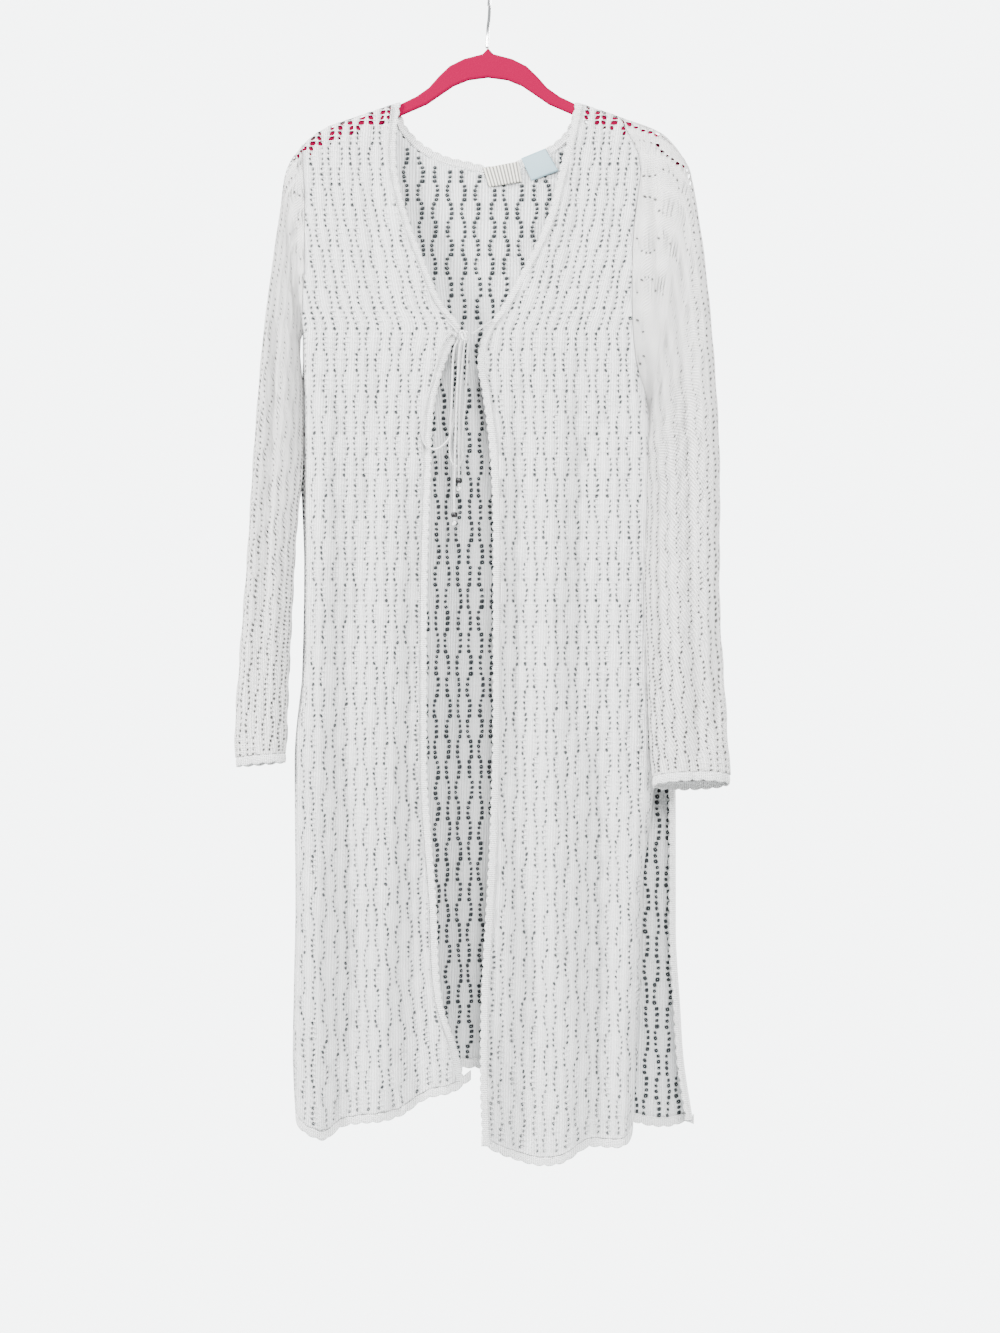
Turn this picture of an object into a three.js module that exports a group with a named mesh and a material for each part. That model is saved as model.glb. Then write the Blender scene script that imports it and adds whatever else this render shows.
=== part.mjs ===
import * as THREE from 'three';

// Duster cardigan on its hanger, in millimetres. +Z is up and the front of the garment faces -Y.
// The origin is the inner top of the hook, where a rail carries it. Left and right are the
// viewer's, so left is -X.

// Cloth and trimming sizes
const CLOTH = 1.6;
const RIB_HEIGHT = 0.8;
const RIB_PITCH = 11.5;
const SEAM_GAP = 0.3;
const SEAM_HALF = SEAM_GAP / 2;
const BAND_GAP = 0.4;
const FRONT_BAND = 9;
const NECK_BAND = 9;
const HEM_BAND = 11;
const CUFF_BAND = 11;
const SLIT_BAND = 9;
const SCALLOP = 2.4;
const SIDE_CURL = 14;
const UNDERARM_ROUND = 60;
const SHOULDER_ROLL = 5.3;

// Hanger sizes
const HANGER_THICK = 6;
const HANGER_EDGE = 2.5;
const HANGER_BELOW_CLOTH = 2.5;
const WIRE = 3.5;
const HOOK_RADIUS = 21.75;

// Tie sizes
const CORD = 2.4;
const KNOT_WIDE = 14.4;
const KNOT_TALL = 12.4;
const KNOT_DEEP = 9.6;
const BEAD_WIDE = 7.6;
const BEAD_TALL = 5.6;
const END_KNOT = 5;

const KNIT = new THREE.MeshStandardMaterial({ color: 0xe6e5e2, roughness: 0.92, metalness: 0 });
const TRIM = new THREE.MeshStandardMaterial({ color: 0xeeedea, roughness: 0.9, metalness: 0 });
const CREAM = new THREE.MeshStandardMaterial({ color: 0xe9e6d8, roughness: 0.7, metalness: 0 });
const PALE_BLUE = new THREE.MeshStandardMaterial({ color: 0xb9cdd4, roughness: 0.6, metalness: 0 });
const FLOCK = new THREE.MeshStandardMaterial({ color: 0xd02a5c, roughness: 0.95, metalness: 0 });
const CHROME = new THREE.MeshStandardMaterial({ color: 0xb8bcc0, roughness: 0.25, metalness: 1 });
const PEWTER = new THREE.MeshStandardMaterial({ color: 0x4a4640, roughness: 0.4, metalness: 0.9 });

// Height of the shoulder line over the hanger, by distance from the middle
const SHOULDER = [
  { x: 98, z: -141 }, { x: 126, z: -150.5 }, { x: 155, z: -160.5 }, { x: 180, z: -169.5 },
  { x: 199, z: -182 }, { x: 213, z: -197 }, { x: 222, z: -210 }, { x: 227, z: -228 },
];

// Edges of the left front by height: the opening edge, and the armhole and side seam
const LEFT_EDGES = [
  { z: -141, open: -97, side: -200 }, { z: -198, open: -102, side: -207 },
  { z: -255, open: -93, side: -204 }, { z: -331, open: -66, side: -204 },
  { z: -369, open: -50, side: -206 }, { z: -398, open: -30, side: -207 },
  { z: -419, open: -40, side: -206 }, { z: -480, open: -58, side: -205 },
  { z: -560, open: -63, side: -205 }, { z: -742, open: -67, side: -205 },
  { z: -877, open: -67, side: -216 }, { z: -1033, open: -57, side: -215 },
  { z: -1140, open: -50, side: -217 }, { z: -1202, open: -31, side: -218 },
  { z: -1290, open: -18, side: -214 },
];

// Edges of the right front by height
const RIGHT_EDGES = [
  { z: -143, open: 97, side: 137 }, { z: -167, open: 92, side: 151 },
  { z: -215, open: 80, side: 170 }, { z: -276, open: 64, side: 163 },
  { z: -329, open: 39, side: 160 }, { z: -377, open: 12, side: 160 },
  { z: -399, open: -4, side: 161 }, { z: -436, open: -12, side: 165 },
  { z: -474, open: -6, side: 172 }, { z: -540, open: 2, side: 173 },
  { z: -660, open: 5, side: 179 }, { z: -800, open: 5, side: 190 },
  { z: -921, open: 3, side: 184 }, { z: -1011, open: -1, side: 173 },
  { z: -1140, open: -8, side: 170 }, { z: -1224, open: -9, side: 165 },
  { z: -1310, open: -6, side: 161 },
];

// Side edges of the back by height
const BACK_EDGES = [
  { z: -143, left: -200, right: 137 }, { z: -167, left: -205, right: 151 },
  { z: -198, left: -207, right: 167 }, { z: -215, left: -206, right: 170 },
  { z: -276, left: -204, right: 163 }, { z: -369, left: -206, right: 160 },
  { z: -419, left: -206, right: 163 }, { z: -474, left: -205, right: 172 },
  { z: -540, left: -205, right: 174 }, { z: -660, left: -204, right: 184 },
  { z: -800, left: -209, right: 201 }, { z: -921, left: -216, right: 210 },
  { z: -1063, left: -214, right: 210 }, { z: -1154, left: -216, right: 215 },
  { z: -1213, left: -217, right: 219 }, { z: -1290, left: -214, right: 231 },
];

// Hem lines from left to right
const LEFT_HEM = [
  { x: -214, z: -1280 }, { x: -193, z: -1291 }, { x: -181, z: -1295 }, { x: -163, z: -1284 },
  { x: -139, z: -1277 }, { x: -96, z: -1269 }, { x: -65, z: -1249 }, { x: -34, z: -1240 },
  { x: -18, z: -1229 },
];
const RIGHT_HEM = [
  { x: -4, z: -1300 }, { x: 22, z: -1315 }, { x: 54, z: -1324 }, { x: 82, z: -1319 },
  { x: 114, z: -1304 }, { x: 135, z: -1305 }, { x: 154, z: -1300 }, { x: 163, z: -1290 },
];
const BACK_HEM = [
  { x: -215, z: -1262 }, { x: -120, z: -1248 }, { x: -18, z: -1224 }, { x: 70, z: -1250 },
  { x: 163, z: -1285 }, { x: 203, z: -1291 }, { x: 231, z: -1283 },
];

// Lower line of the back-neck edging, from shoulder seam to shoulder seam
const NECK_LINE = [
  { x: -107, z: -144 }, { x: -106.6, z: -145.6 }, { x: -106.1, z: -149.3 }, { x: -104.5, z: -158 },
  { x: -92, z: -180 }, { x: -60, z: -204 }, { x: -18, z: -216 }, { x: 4, z: -220.5 },
  { x: 28, z: -216 }, { x: 59, z: -203.5 }, { x: 82, z: -190 }, { x: 96, z: -174 },
  { x: 103, z: -158 }, { x: 106.1, z: -149.3 }, { x: 106.6, z: -145.6 }, { x: 107, z: -144 },
];

// How far the cloth stands in front of and behind the seam plane, by height
const FALL = [
  { z: -140, front: 5.3, back: 5.3 }, { z: -200, front: 6.4, back: 6.2 },
  { z: -270, front: 12, back: 9 }, { z: -400, front: 20, back: 13 },
  { z: -560, front: 23, back: 15 }, { z: -900, front: 25, back: 17 },
  { z: -1320, front: 30, back: 20 },
];

// Soft vertical folds by panel: their depth by height, spacing and place
const FOLD_GROWTH = [
  { z: -380, share: 0 }, { z: -600, share: 0.35 }, { z: -1000, share: 0.75 },
  { z: -1320, share: 1 },
];
const FOLDS = {
  left: { deep: 5, pitch: 74, at: -140 },
  right: { deep: 6, pitch: 88, at: 60 },
  back: { deep: 5, pitch: 96, at: 10 },
};

// Rings down each sleeve: outer point, under point, middle and half depth of the section, and the
// lengthwise crease on its front
const LEFT_RINGS = [
  { ox: -214, oz: -198.5, ux: -209.5, uz: -407, mid: 0, deep: 13, crease: 0 },
  { ox: -220.5, oz: -207.5, ux: -209.7, uz: -412, mid: 0, deep: 14, crease: 0 },
  { ox: -227, oz: -225, ux: -210, uz: -425, mid: 0, deep: 15, crease: 1 },
  { ox: -232, oz: -262, ux: -210.5, uz: -450, mid: -2, deep: 15, crease: 2 },
  { ox: -240, oz: -318, ux: -211, uz: -485, mid: -4, deep: 15, crease: 3 },
  { ox: -251, oz: -410, ux: -211, uz: -540, mid: -8, deep: 15, crease: 4 },
  { ox: -260, oz: -530, ux: -213, uz: -625, mid: -12, deep: 15, crease: 4 },
  { ox: -267, oz: -650, ux: -218, uz: -715, mid: -14, deep: 15, crease: 4 },
  { ox: -275, oz: -760, ux: -222, uz: -795, mid: -15, deep: 15, crease: 4 },
  { ox: -280, oz: -845, ux: -224, uz: -855, mid: -16, deep: 15, crease: 3 },
  { ox: -279, oz: -873, ux: -225, uz: -868, mid: -16, deep: 15, crease: 2 },
];
const RIGHT_RINGS = [
  { ox: 170, oz: -165.7, ux: 177, uz: -479, mid: 0, deep: 16, crease: 0 },
  { ox: 186.5, oz: -172.8, ux: 178.5, uz: -484, mid: 0, deep: 16, crease: 0 },
  { ox: 200, oz: -182.4, ux: 179, uz: -488, mid: 0, deep: 16, crease: 0 },
  { ox: 213.5, oz: -197, ux: 180, uz: -496, mid: 0, deep: 16, crease: 1 },
  { ox: 222.6, oz: -210.5, ux: 180.3, uz: -502, mid: 0, deep: 16, crease: 1 },
  { ox: 228, oz: -229, ux: 180.5, uz: -510, mid: -2, deep: 16, crease: 2 },
  { ox: 240, oz: -312, ux: 181, uz: -540, mid: -12, deep: 16, crease: 3 },
  { ox: 250, oz: -430, ux: 181, uz: -600, mid: -24, deep: 16, crease: 4 },
  { ox: 255, oz: -560, ux: 182, uz: -680, mid: -36, deep: 16, crease: 4 },
  { ox: 254, oz: -690, ux: 184, uz: -770, mid: -42, deep: 16, crease: 4 },
  { ox: 260, oz: -810, ux: 183, uz: -850, mid: -45, deep: 16, crease: 3 },
  { ox: 265, oz: -891, ux: 181, uz: -893, mid: -46, deep: 16, crease: 2 },
];
const CUFF_TILT = { left: 3, right: 12 };
const CREASE_AT = 0.3;
const CREASE_WIDE = 0.22;

// Rows down each panel: drop below the shoulder line, then share of the rest of the height
const ROLL_ROWS = [{ down: 0, share: 0 }, { down: 1.6, share: 0 }, { down: 5.3, share: 0 }];
const LOWER_SHARES = [0.1, 0.24, 0.4, 0.56, 0.72, 0.86, 0.95, 1];

// Upper and lower edges of the hanger from the middle outwards
const HANGER_TOP = [
  { x: 0, z: -81 }, { x: 6, z: -87.5 }, { x: 27, z: -93 }, { x: 43, z: -101 },
  { x: 55, z: -112.5 }, { x: 66, z: -125 }, { x: 80, z: -135 },
];
const HANGER_LOW = [
  { x: 98, z: -157 }, { x: 68, z: -144 }, { x: 52, z: -133 }, { x: 38, z: -123.5 },
  { x: 22, z: -117 }, { x: 0, z: -114 },
];
const ARM_TALL = 15;

/** Smooth reading of one named column of a table, by another. */
function column(table, key, name) {
  const rising = table[table.length - 1][key] > table[0][key];
  const rows = rising ? table : [...table].reverse();
  const secant = (i) => (rows[i + 1][name] - rows[i][name]) / (rows[i + 1][key] - rows[i][key]);
  const slope = (i) => {
    if (i === 0) return secant(0);
    if (i === rows.length - 1) return secant(i - 1);
    return secant(i - 1) * secant(i) > 0 ? (secant(i - 1) + secant(i)) / 2 : 0;
  };
  return (value) => {
    const k = THREE.MathUtils.clamp(value, rows[0][key], rows[rows.length - 1][key]);
    let i = 0;
    while (i < rows.length - 2 && k > rows[i + 1][key]) i += 1;
    const width = rows[i + 1][key] - rows[i][key];
    const t = (k - rows[i][key]) / width;
    const a = rows[i][name];
    const b = rows[i + 1][name];
    const c = slope(i) * width;
    const d = slope(i + 1) * width;
    return a + t * (c + t * (3 * (b - a) - 2 * c - d + t * (c + d - 2 * (b - a))));
  };
}

const shoulderHeight = column(SHOULDER, 'x', 'z');
const shoulderAt = (x) => shoulderHeight(Math.abs(x));
const fallFront = column(FALL, 'z', 'front');
const fallBack = column(FALL, 'z', 'back');
const foldShare = column(FOLD_GROWTH, 'z', 'share');

const SIDES = {
  left: {
    sign: -1,
    underarm: -401,
    shoulderPoint: -205,
    front: column(LEFT_EDGES, 'z', 'side'),
    back: column(BACK_EDGES, 'z', 'left'),
    open: column(LEFT_EDGES, 'z', 'open'),
    hem: column(LEFT_HEM, 'x', 'z'),
    folds: FOLDS.left,
  },
  right: {
    sign: 1,
    underarm: -474,
    shoulderPoint: 144,
    front: column(RIGHT_EDGES, 'z', 'side'),
    back: column(BACK_EDGES, 'z', 'right'),
    open: column(RIGHT_EDGES, 'z', 'open'),
    hem: column(RIGHT_HEM, 'x', 'z'),
    folds: FOLDS.right,
  },
};

/** Quarter round from 0 to 1 as a share runs from 0 to 1. */
function quarter(share) {
  const t = 1 - Math.min(Math.max(share, 0), 1);
  return Math.sqrt(1 - t * t);
}

/** How far a point of the cloth stands from the seam plane. */
function standOff(face, side, x, z) {
  const fall = face === 'front' ? fallFront(z) : fallBack(z);
  const edge = side[face](z);
  const inward = Math.max(side.sign * (edge - x), 0);
  const roll = quarter((shoulderAt(x) - z) / SHOULDER_ROLL);
  const curl = quarter(inward / SIDE_CURL + Math.max(z - side.underarm, 0) / UNDERARM_ROUND);
  const folds = face === 'front' ? side.folds : FOLDS.back;
  const swing = Math.sin((2 * Math.PI * (x - folds.at)) / folds.pitch);
  const wave = folds.deep * foldShare(z) * swing * quarter(inward / (3 * SIDE_CURL));
  return SEAM_HALF + fall * roll * curl + wave * curl;
}

/** Point of a front at a place across and a height. */
function frontPoint(side, x, z) {
  return new THREE.Vector3(x, -standOff('front', side, x, z), z);
}

/** Point of the back; its two halves meet in the middle. */
function backPoint(x, z) {
  const side = x < 0 ? SIDES.left : SIDES.right;
  return new THREE.Vector3(x, standOff('back', side, x, z), z);
}

/** Outward direction of the cloth at the armhole seam, in the plane of the seam. */
function armholeNormal(face, side, z) {
  const top = shoulderAt(side.front(z));
  const high = Math.min(z + 0.6, top);
  const low = high - 1.2;
  const rise = standOff(face, side, side[face](high), high) - standOff(face, side, side[face](low), low);
  const out = face === 'front' ? -1 : 1;
  return new THREE.Vector3(0, out * 1.2, -rise).normalize();
}

/** One closed wall from a grid of outer points, with its thickness turned inwards. */
function wall(name, material, grid, options = {}) {
  const { loop = false, facing, thick = CLOTH, rib = () => 0, normalAt = () => null } = options;
  const across = grid.length;
  const down = grid[0].length;
  const at = (i, j) => grid[loop ? (i + across) % across : THREE.MathUtils.clamp(i, 0, across - 1)][
    THREE.MathUtils.clamp(j, 0, down - 1)];
  const outer = [];
  const inner = [];
  for (let i = 0; i < across; i += 1) {
    for (let j = 0; j < down; j += 1) {
      const p = at(i, j);
      const alongU = at(i + 1, j).clone().sub(at(i - 1, j));
      const alongV = at(i, j + 1).clone().sub(at(i, j - 1));
      const found = alongU.cross(alongV).normalize();
      if (found.dot(facing(p, i, j)) < 0) found.negate();
      const n = normalAt(i, j, found) ?? found;
      outer.push(p.clone().addScaledVector(n, rib(i, j)));
      inner.push(p.clone().addScaledVector(n, -thick));
    }
  }
  const points = [...outer, ...inner];
  const shift = outer.length;
  const id = (i, j) => ((i + across) % across) * down + j;
  const faces = [];
  const quad = (a, b, c, d) => faces.push(a, b, c, a, c, d);
  const spans = loop ? across : across - 1;
  for (let i = 0; i < spans; i += 1) {
    for (let j = 0; j < down - 1; j += 1) {
      quad(id(i, j), id(i + 1, j), id(i + 1, j + 1), id(i, j + 1));
      quad(id(i, j) + shift, id(i, j + 1) + shift, id(i + 1, j + 1) + shift, id(i + 1, j) + shift);
    }
    quad(id(i, 0), id(i, 0) + shift, id(i + 1, 0) + shift, id(i + 1, 0));
    const last = down - 1;
    quad(id(i, last), id(i + 1, last), id(i + 1, last) + shift, id(i, last) + shift);
  }
  for (let j = 0; !loop && j < down - 1; j += 1) {
    const last = across - 1;
    quad(id(0, j), id(0, j + 1), id(0, j + 1) + shift, id(0, j) + shift);
    quad(id(last, j), id(last, j) + shift, id(last, j + 1) + shift, id(last, j + 1));
  }
  return closedMesh(name, material, points, faces);
}

/** Mesh of a closed body, turned so that its faces look out. */
function closedMesh(name, material, points, faces) {
  let volume = 0;
  for (let f = 0; f < faces.length; f += 3) {
    const [a, b, c] = [points[faces[f]], points[faces[f + 1]], points[faces[f + 2]]];
    volume += a.dot(b.clone().cross(c));
  }
  if (volume < 0) faces.reverse();
  const geometry = new THREE.BufferGeometry().setFromPoints(points);
  geometry.setIndex(faces);
  geometry.computeVertexNormals();
  return namedMesh(name, geometry, material);
}

/** Mesh with its name. */
function namedMesh(name, geometry, material) {
  const mesh = new THREE.Mesh(geometry, material);
  mesh.name = name;
  return mesh;
}

/** Rows of a panel, with one row on each underarm that it carries. */
function panelRows(underShares, extraShares = []) {
  const last = Math.max(...underShares);
  const lower = LOWER_SHARES.map((share) => last + (1 - last) * share);
  const upper = [...underShares, ...extraShares].filter((share) => share <= last);
  const between = extraShares.filter((share) => share > last);
  const shares = [...upper, ...between, ...lower].sort((a, b) => a - b);
  return [...ROLL_ROWS, ...shares.map((share) => ({ down: SHOULDER_ROLL, share }))];
}

/** Share of a side edge's height at which its underarm lies. */
function underShare(side, bottom) {
  const top = shoulderAt(side.shoulderPoint) - SHOULDER_ROLL;
  return (top - side.underarm) / (top - bottom);
}

/** Height of a row between the top and the bottom of one column. */
function rowHeight(row, top, bottom) {
  return top - row.down - row.share * (top - row.down - bottom);
}

const leftUnder = underShare(SIDES.left, LEFT_HEM[0].z + HEM_BAND);
const rightUnder = underShare(SIDES.right, RIGHT_HEM[RIGHT_HEM.length - 1].z + HEM_BAND);
const backLeftUnder = underShare(SIDES.left, BACK_HEM[0].z + HEM_BAND);
const backRightUnder = underShare(SIDES.right, BACK_HEM[BACK_HEM.length - 1].z + HEM_BAND);
SIDES.left.frontRows = panelRows([leftUnder], [leftUnder * 0.3, leftUnder * 0.64, 0.236, 0.262]);
SIDES.right.frontRows = panelRows([rightUnder], [rightUnder * 0.2, rightUnder * 0.42,
  rightUnder * 0.62, rightUnder * 0.8]);
const BACK_ROWS = panelRows([backLeftUnder, backRightUnder], [backLeftUnder * 0.32,
  backLeftUnder * 0.66]);

/** Point where a column meets a line, found by walking to it. */
function meet(start, place, line) {
  let z = start;
  for (let step = 0; step < 12; step += 1) z = line(place(z));
  return z;
}

/** Column of a panel: its points from the shoulder line or neck line down to the hem band. */
function panelColumn(rows, place, top, hemLine, pointAt) {
  const bottom = meet(-1260, place, (x) => hemLine(x) + HEM_BAND);
  return rows.map((row) => {
    const z = rowHeight(row, top, bottom);
    return pointAt(place(z), z, row);
  });
}

/** Front: point on the shoulder seam for the first row, and on the cloth for the others. */
const frontRowPoint = (side) => (x, z, row) => (
  row.down === 0 ? new THREE.Vector3(x, -SEAM_HALF, z) : frontPoint(side, x, z));

/** Grid of a front from its side edge to its opening band. */
function frontGrid(side) {
  const widest = Math.abs(side.front(-700) - side.open(-700)) - FRONT_BAND;
  const columns = 2 * Math.round(widest / RIB_PITCH);
  const grid = [];
  for (let i = 0; i <= columns; i += 1) {
    const place = (z) => THREE.MathUtils.lerp(side.front(z),
      side.open(z) + side.sign * (FRONT_BAND + BAND_GAP), i / columns);
    const top = meet(-160, place, shoulderAt);
    grid.push(panelColumn(side.frontRows, place, top, side.hem, frontRowPoint(side)));
  }
  return grid;
}

/** Grid of the band along a front's opening edge. */
function frontBandGrid(side, panel) {
  const near = panel[panel.length - 1].map((p, j) => {
    const x = p.x - side.sign * BAND_GAP;
    return j === 0 ? new THREE.Vector3(x, -SEAM_HALF, p.z) : frontPoint(side, x, p.z);
  });
  const top = meet(-141, side.open, shoulderAt);
  const far = panelColumn(side.frontRows, side.open, top, side.hem, frontRowPoint(side));
  return [near, far];
}

/** Upper line of the back: shoulder seams and the neck line between them. */
const neckHeight = column(NECK_LINE, 'x', 'z');
const backTop = (x) => (Math.abs(x) < 107 ? neckHeight(x) : shoulderAt(x));
const backHem = column(BACK_HEM, 'x', 'z');

/** Places across the upper edge of the back. */
function backPlaces() {
  const places = [];
  const left = SIDES.left.back(-188);
  const right = SIDES.right.back(-157);
  for (let i = 0; i < 18; i += 1) places.push(THREE.MathUtils.lerp(left, -107, i / 18));
  places.push(-107, -106.6, -106.1, -104.5);
  for (let i = 0; i <= 34; i += 1) places.push(THREE.MathUtils.lerp(-99, 98, i / 34));
  places.push(103, 106.1, 106.6, 107);
  for (let i = 1; i <= 7; i += 1) places.push(THREE.MathUtils.lerp(107, right, i / 7));
  return places;
}

/** Grid of the back, one column for each place on its upper edge. */
function backGrid() {
  const places = backPlaces();
  return places.map((topX, i) => {
    const z0 = backTop(topX);
    const left = SIDES.left.back;
    const right = SIDES.right.back;
    const ends = i === 0 || i === places.length - 1;
    const u = ends ? Math.sign(i) : (topX - left(z0)) / (right(z0) - left(z0));
    const place = (z) => THREE.MathUtils.lerp(left(z), right(z), u);
    const seam = Math.abs(topX) > 106.95;
    const pointAt = (x, z, row) => (
      row.down === 0 && seam ? new THREE.Vector3(x, SEAM_HALF, z) : backPoint(x, z));
    return panelColumn(BACK_ROWS, place, z0, backHem, pointAt);
  });
}

/** Grid of the scalloped edging of the back neck, made from the upper edge of the back. */
function neckEdgingGrid(back) {
  const line = back.map((points) => points[0]).filter((p) => Math.abs(p.x) < 107.2);
  return line.map((p, k) => {
    const before = line[Math.max(k - 1, 0)];
    const after = line[Math.min(k + 1, line.length - 1)];
    const along = new THREE.Vector2(after.x - before.x, after.z - before.z).normalize();
    const ends = k === 0 || k === line.length - 1;
    const up = ends
      ? new THREE.Vector2(-Math.sign(p.x) * 0.95, 0.31)
      : new THREE.Vector2(-along.y, along.x);
    const reach = NECK_BAND + (k % 2 === 0 || k < 4 || k > line.length - 5 ? -SCALLOP / 2 : 0);
    const clear = Math.abs(p.x) > 100 ? 5 * SEAM_GAP : SEAM_GAP;
    return [clear, reach].map((away) => {
      const x = p.x + up.x * away;
      const z = p.z + up.y * away;
      return ends ? new THREE.Vector3(x, SEAM_HALF, z) : backPoint(x, z);
    });
  });
}

/** Grid of a hem edging, hung from the lower points of the pieces above it. */
function hemGrid(uppers, hemLine, pointAt) {
  return uppers.map((p, k) => {
    const low = hemLine(p.x) + (k % 2 === 0 ? SCALLOP : 0);
    const high = p.z - SEAM_GAP;
    return [high, low].map((z) => pointAt(p.x, z));
  });
}

/** Grid of the edging folded forward along the back's open slit. */
function slitGrid(back) {
  const edge = back[back.length - 1].filter((p) => p.z < -905);
  const steps = [{ inward: 0, ahead: 0 }, { inward: 2.5, ahead: 5 }, { inward: SLIT_BAND, ahead: 7 }];
  return steps.map((step) => edge.map((p) => (
    new THREE.Vector3(p.x - step.inward, -SEAM_HALF - step.ahead, p.z))));
}

/** Points of an armhole seam from the shoulder to the underarm, shared with the panel's edge. */
function armholePoints(edge, underarm, total) {
  const levels = edge.filter((p) => p.z > underarm - 0.5);
  const first = levels[2].z;
  const last = levels[levels.length - 1].z;
  const points = [levels[0], levels[1], levels[2]];
  let made = 2;
  for (let k = 2; k < levels.length - 1; k += 1) {
    const share = (first - levels[k + 1].z) / (first - last);
    const wanted = 2 + Math.round(share * (total - 2));
    const steps = wanted - made;
    for (let s = 1; s <= steps; s += 1) points.push(levels[k].clone().lerp(levels[k + 1], s / steps));
    made = wanted;
  }
  return points;
}

const HALF_RING = 21;

/** Ring of the sleeve that follows the armhole, a seam's width outside it. */
function armholeRing(side, frontEdge, backEdge) {
  const front = armholePoints(frontEdge, side.underarm, HALF_RING);
  const back = armholePoints(backEdge, side.underarm, HALF_RING);
  const ring = [...front, ...back.slice(1, -1).reverse()];
  return ring.map((p, i) => {
    const y = i === 0 || i === HALF_RING ? 0 : p.y;
    return new THREE.Vector3(p.x + side.sign * SEAM_GAP, y, p.z);
  });
}

/** Ring of a sleeve section between its outer and under points. */
function sleeveRing(ring, tilt) {
  const middle = new THREE.Vector2((ring.ox + ring.ux) / 2, (ring.oz + ring.uz) / 2);
  const half = new THREE.Vector2((ring.ox - ring.ux) / 2, (ring.oz - ring.uz) / 2);
  return Array.from({ length: 2 * HALF_RING }, (_, i) => {
    const angle = (Math.PI * i) / HALF_RING;
    const c = Math.cos(angle);
    const s = Math.sin(angle);
    const across = middle.clone().addScaledVector(half, c);
    const crease = s > 0 ? ring.crease * Math.exp(-(((c - CREASE_AT) / CREASE_WIDE) ** 2)) : 0;
    const y = ring.mid - ring.deep * Math.sign(s) * Math.abs(s) ** 0.7 + crease;
    return new THREE.Vector3(across.x, y, across.y + tilt * s);
  });
}

/** Sleeve and its cuff edging. */
function sleeve(sideName, rings, frontEdge, backEdge) {
  const side = SIDES[sideName];
  const seam = armholeRing(side, frontEdge, backEdge);
  const tilts = rings.map((_, k) => (
    CUFF_TILT[sideName] * Math.max(k - rings.length + 4, 0)) / 6);
  const sections = [seam, ...rings.map((ring, k) => sleeveRing(ring, tilts[k]))];
  const grid = seam.map((_, i) => sections.map((section) => section[i]));
  const centres = sections.map((section) => (
    section.reduce((sum, p) => sum.add(p), new THREE.Vector3()).divideScalar(section.length)));
  const facing = (p, i, j) => p.clone().sub(centres[Math.min(j, centres.length - 1)]);
  const normalAt = (i, j) => {
    if (j > 0) return null;
    if (i % HALF_RING === 0) return new THREE.Vector3(0, 0, i === 0 ? 1 : -1);
    return armholeNormal(i < HALF_RING ? 'front' : 'back', side, seam[i].z);
  };
  const rib = (i, j) => (i % 2 && j > 0 ? RIB_HEIGHT : 0);
  const tube = wall(`sleeve_${sideName}`, KNIT, grid, { loop: true, facing, rib, normalAt });
  const last = sections[sections.length - 1];
  const cuff = last.map((p, i) => {
    const top = p.clone();
    top.z -= SEAM_GAP;
    const low = p.clone();
    low.z -= CUFF_BAND - (i % 2 === 0 ? SCALLOP : 0);
    return [top, low];
  });
  const cuffFacing = (p) => p.clone().sub(centres[centres.length - 1]).setZ(0);
  return [tube, wall(`cuff_edging_${sideName}`, TRIM, cuff, { loop: true, facing: cuffFacing })];
}

/** Normals that keep a panel's edges flat against its seams. */
function seamNormals(face, columns, backFace = false) {
  return (grid) => (i, j, found) => {
    const p = grid[i][j];
    const side = backFace && p.x >= 0 ? SIDES.right : SIDES.left;
    const used = backFace ? side : columns;
    const atSide = i === 0 || (backFace && i === grid.length - 1);
    if (atSide && j === 0) return new THREE.Vector3(0, 0, 1);
    if (atSide && p.z > used.underarm + 0.5) return armholeNormal(face, used, p.z);
    if (atSide) return new THREE.Vector3(used.sign, 0, 0);
    const seam = j === 0 && Math.abs(Math.abs(p.y) - SEAM_HALF) < 1e-6;
    return seam ? new THREE.Vector3(found.x, 0, found.z).normalize() : null;
  };
}

/** Label made from the back's points moved to its inner side. */
function label(name, material, corners) {
  const grid = [];
  for (let i = 0; i <= 4; i += 1) {
    const line = [];
    for (let j = 0; j <= 2; j += 1) {
      const top = corners[0].clone().lerp(corners[1], i / 4);
      const low = corners[3].clone().lerp(corners[2], i / 4);
      const at = top.lerp(low, j / 2);
      const p = backPoint(at.x, at.y);
      p.y -= CLOTH + RIB_HEIGHT;
      line.push(p);
    }
    grid.push(line);
  }
  const facing = () => new THREE.Vector3(0, 1, 0);
  return wall(name, material, grid, { facing, thick: 0.9 });
}

/** Round bar along a route. */
function bar(name, material, route, width, steps, sides = 8) {
  const path = new THREE.CatmullRomCurve3(route.map((p) => new THREE.Vector3(...p)), false, 'centripetal');
  const shape = new THREE.Shape();
  for (let k = 0; k <= sides; k += 1) {
    const a = (2 * Math.PI * k) / sides;
    const [x, y] = [Math.cos(a) * width / 2, Math.sin(a) * width / 2];
    if (k === 0) shape.moveTo(x, y);
    else if (k < sides) shape.lineTo(x, y);
  }
  shape.closePath();
  const options = { steps, extrudePath: path, curveSegments: 1, bevelEnabled: false };
  return namedMesh(name, new THREE.ExtrudeGeometry(shape, options), material);
}

/** Knot as a plain rounded lump. */
function knot(name, at, wide, deep, tall, around = 12, down = 8) {
  const ball = new THREE.SphereGeometry(0.5, around, down);
  ball.scale(wide, deep, tall);
  ball.translate(...at);
  return namedMesh(name, ball, TRIM);
}

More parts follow.
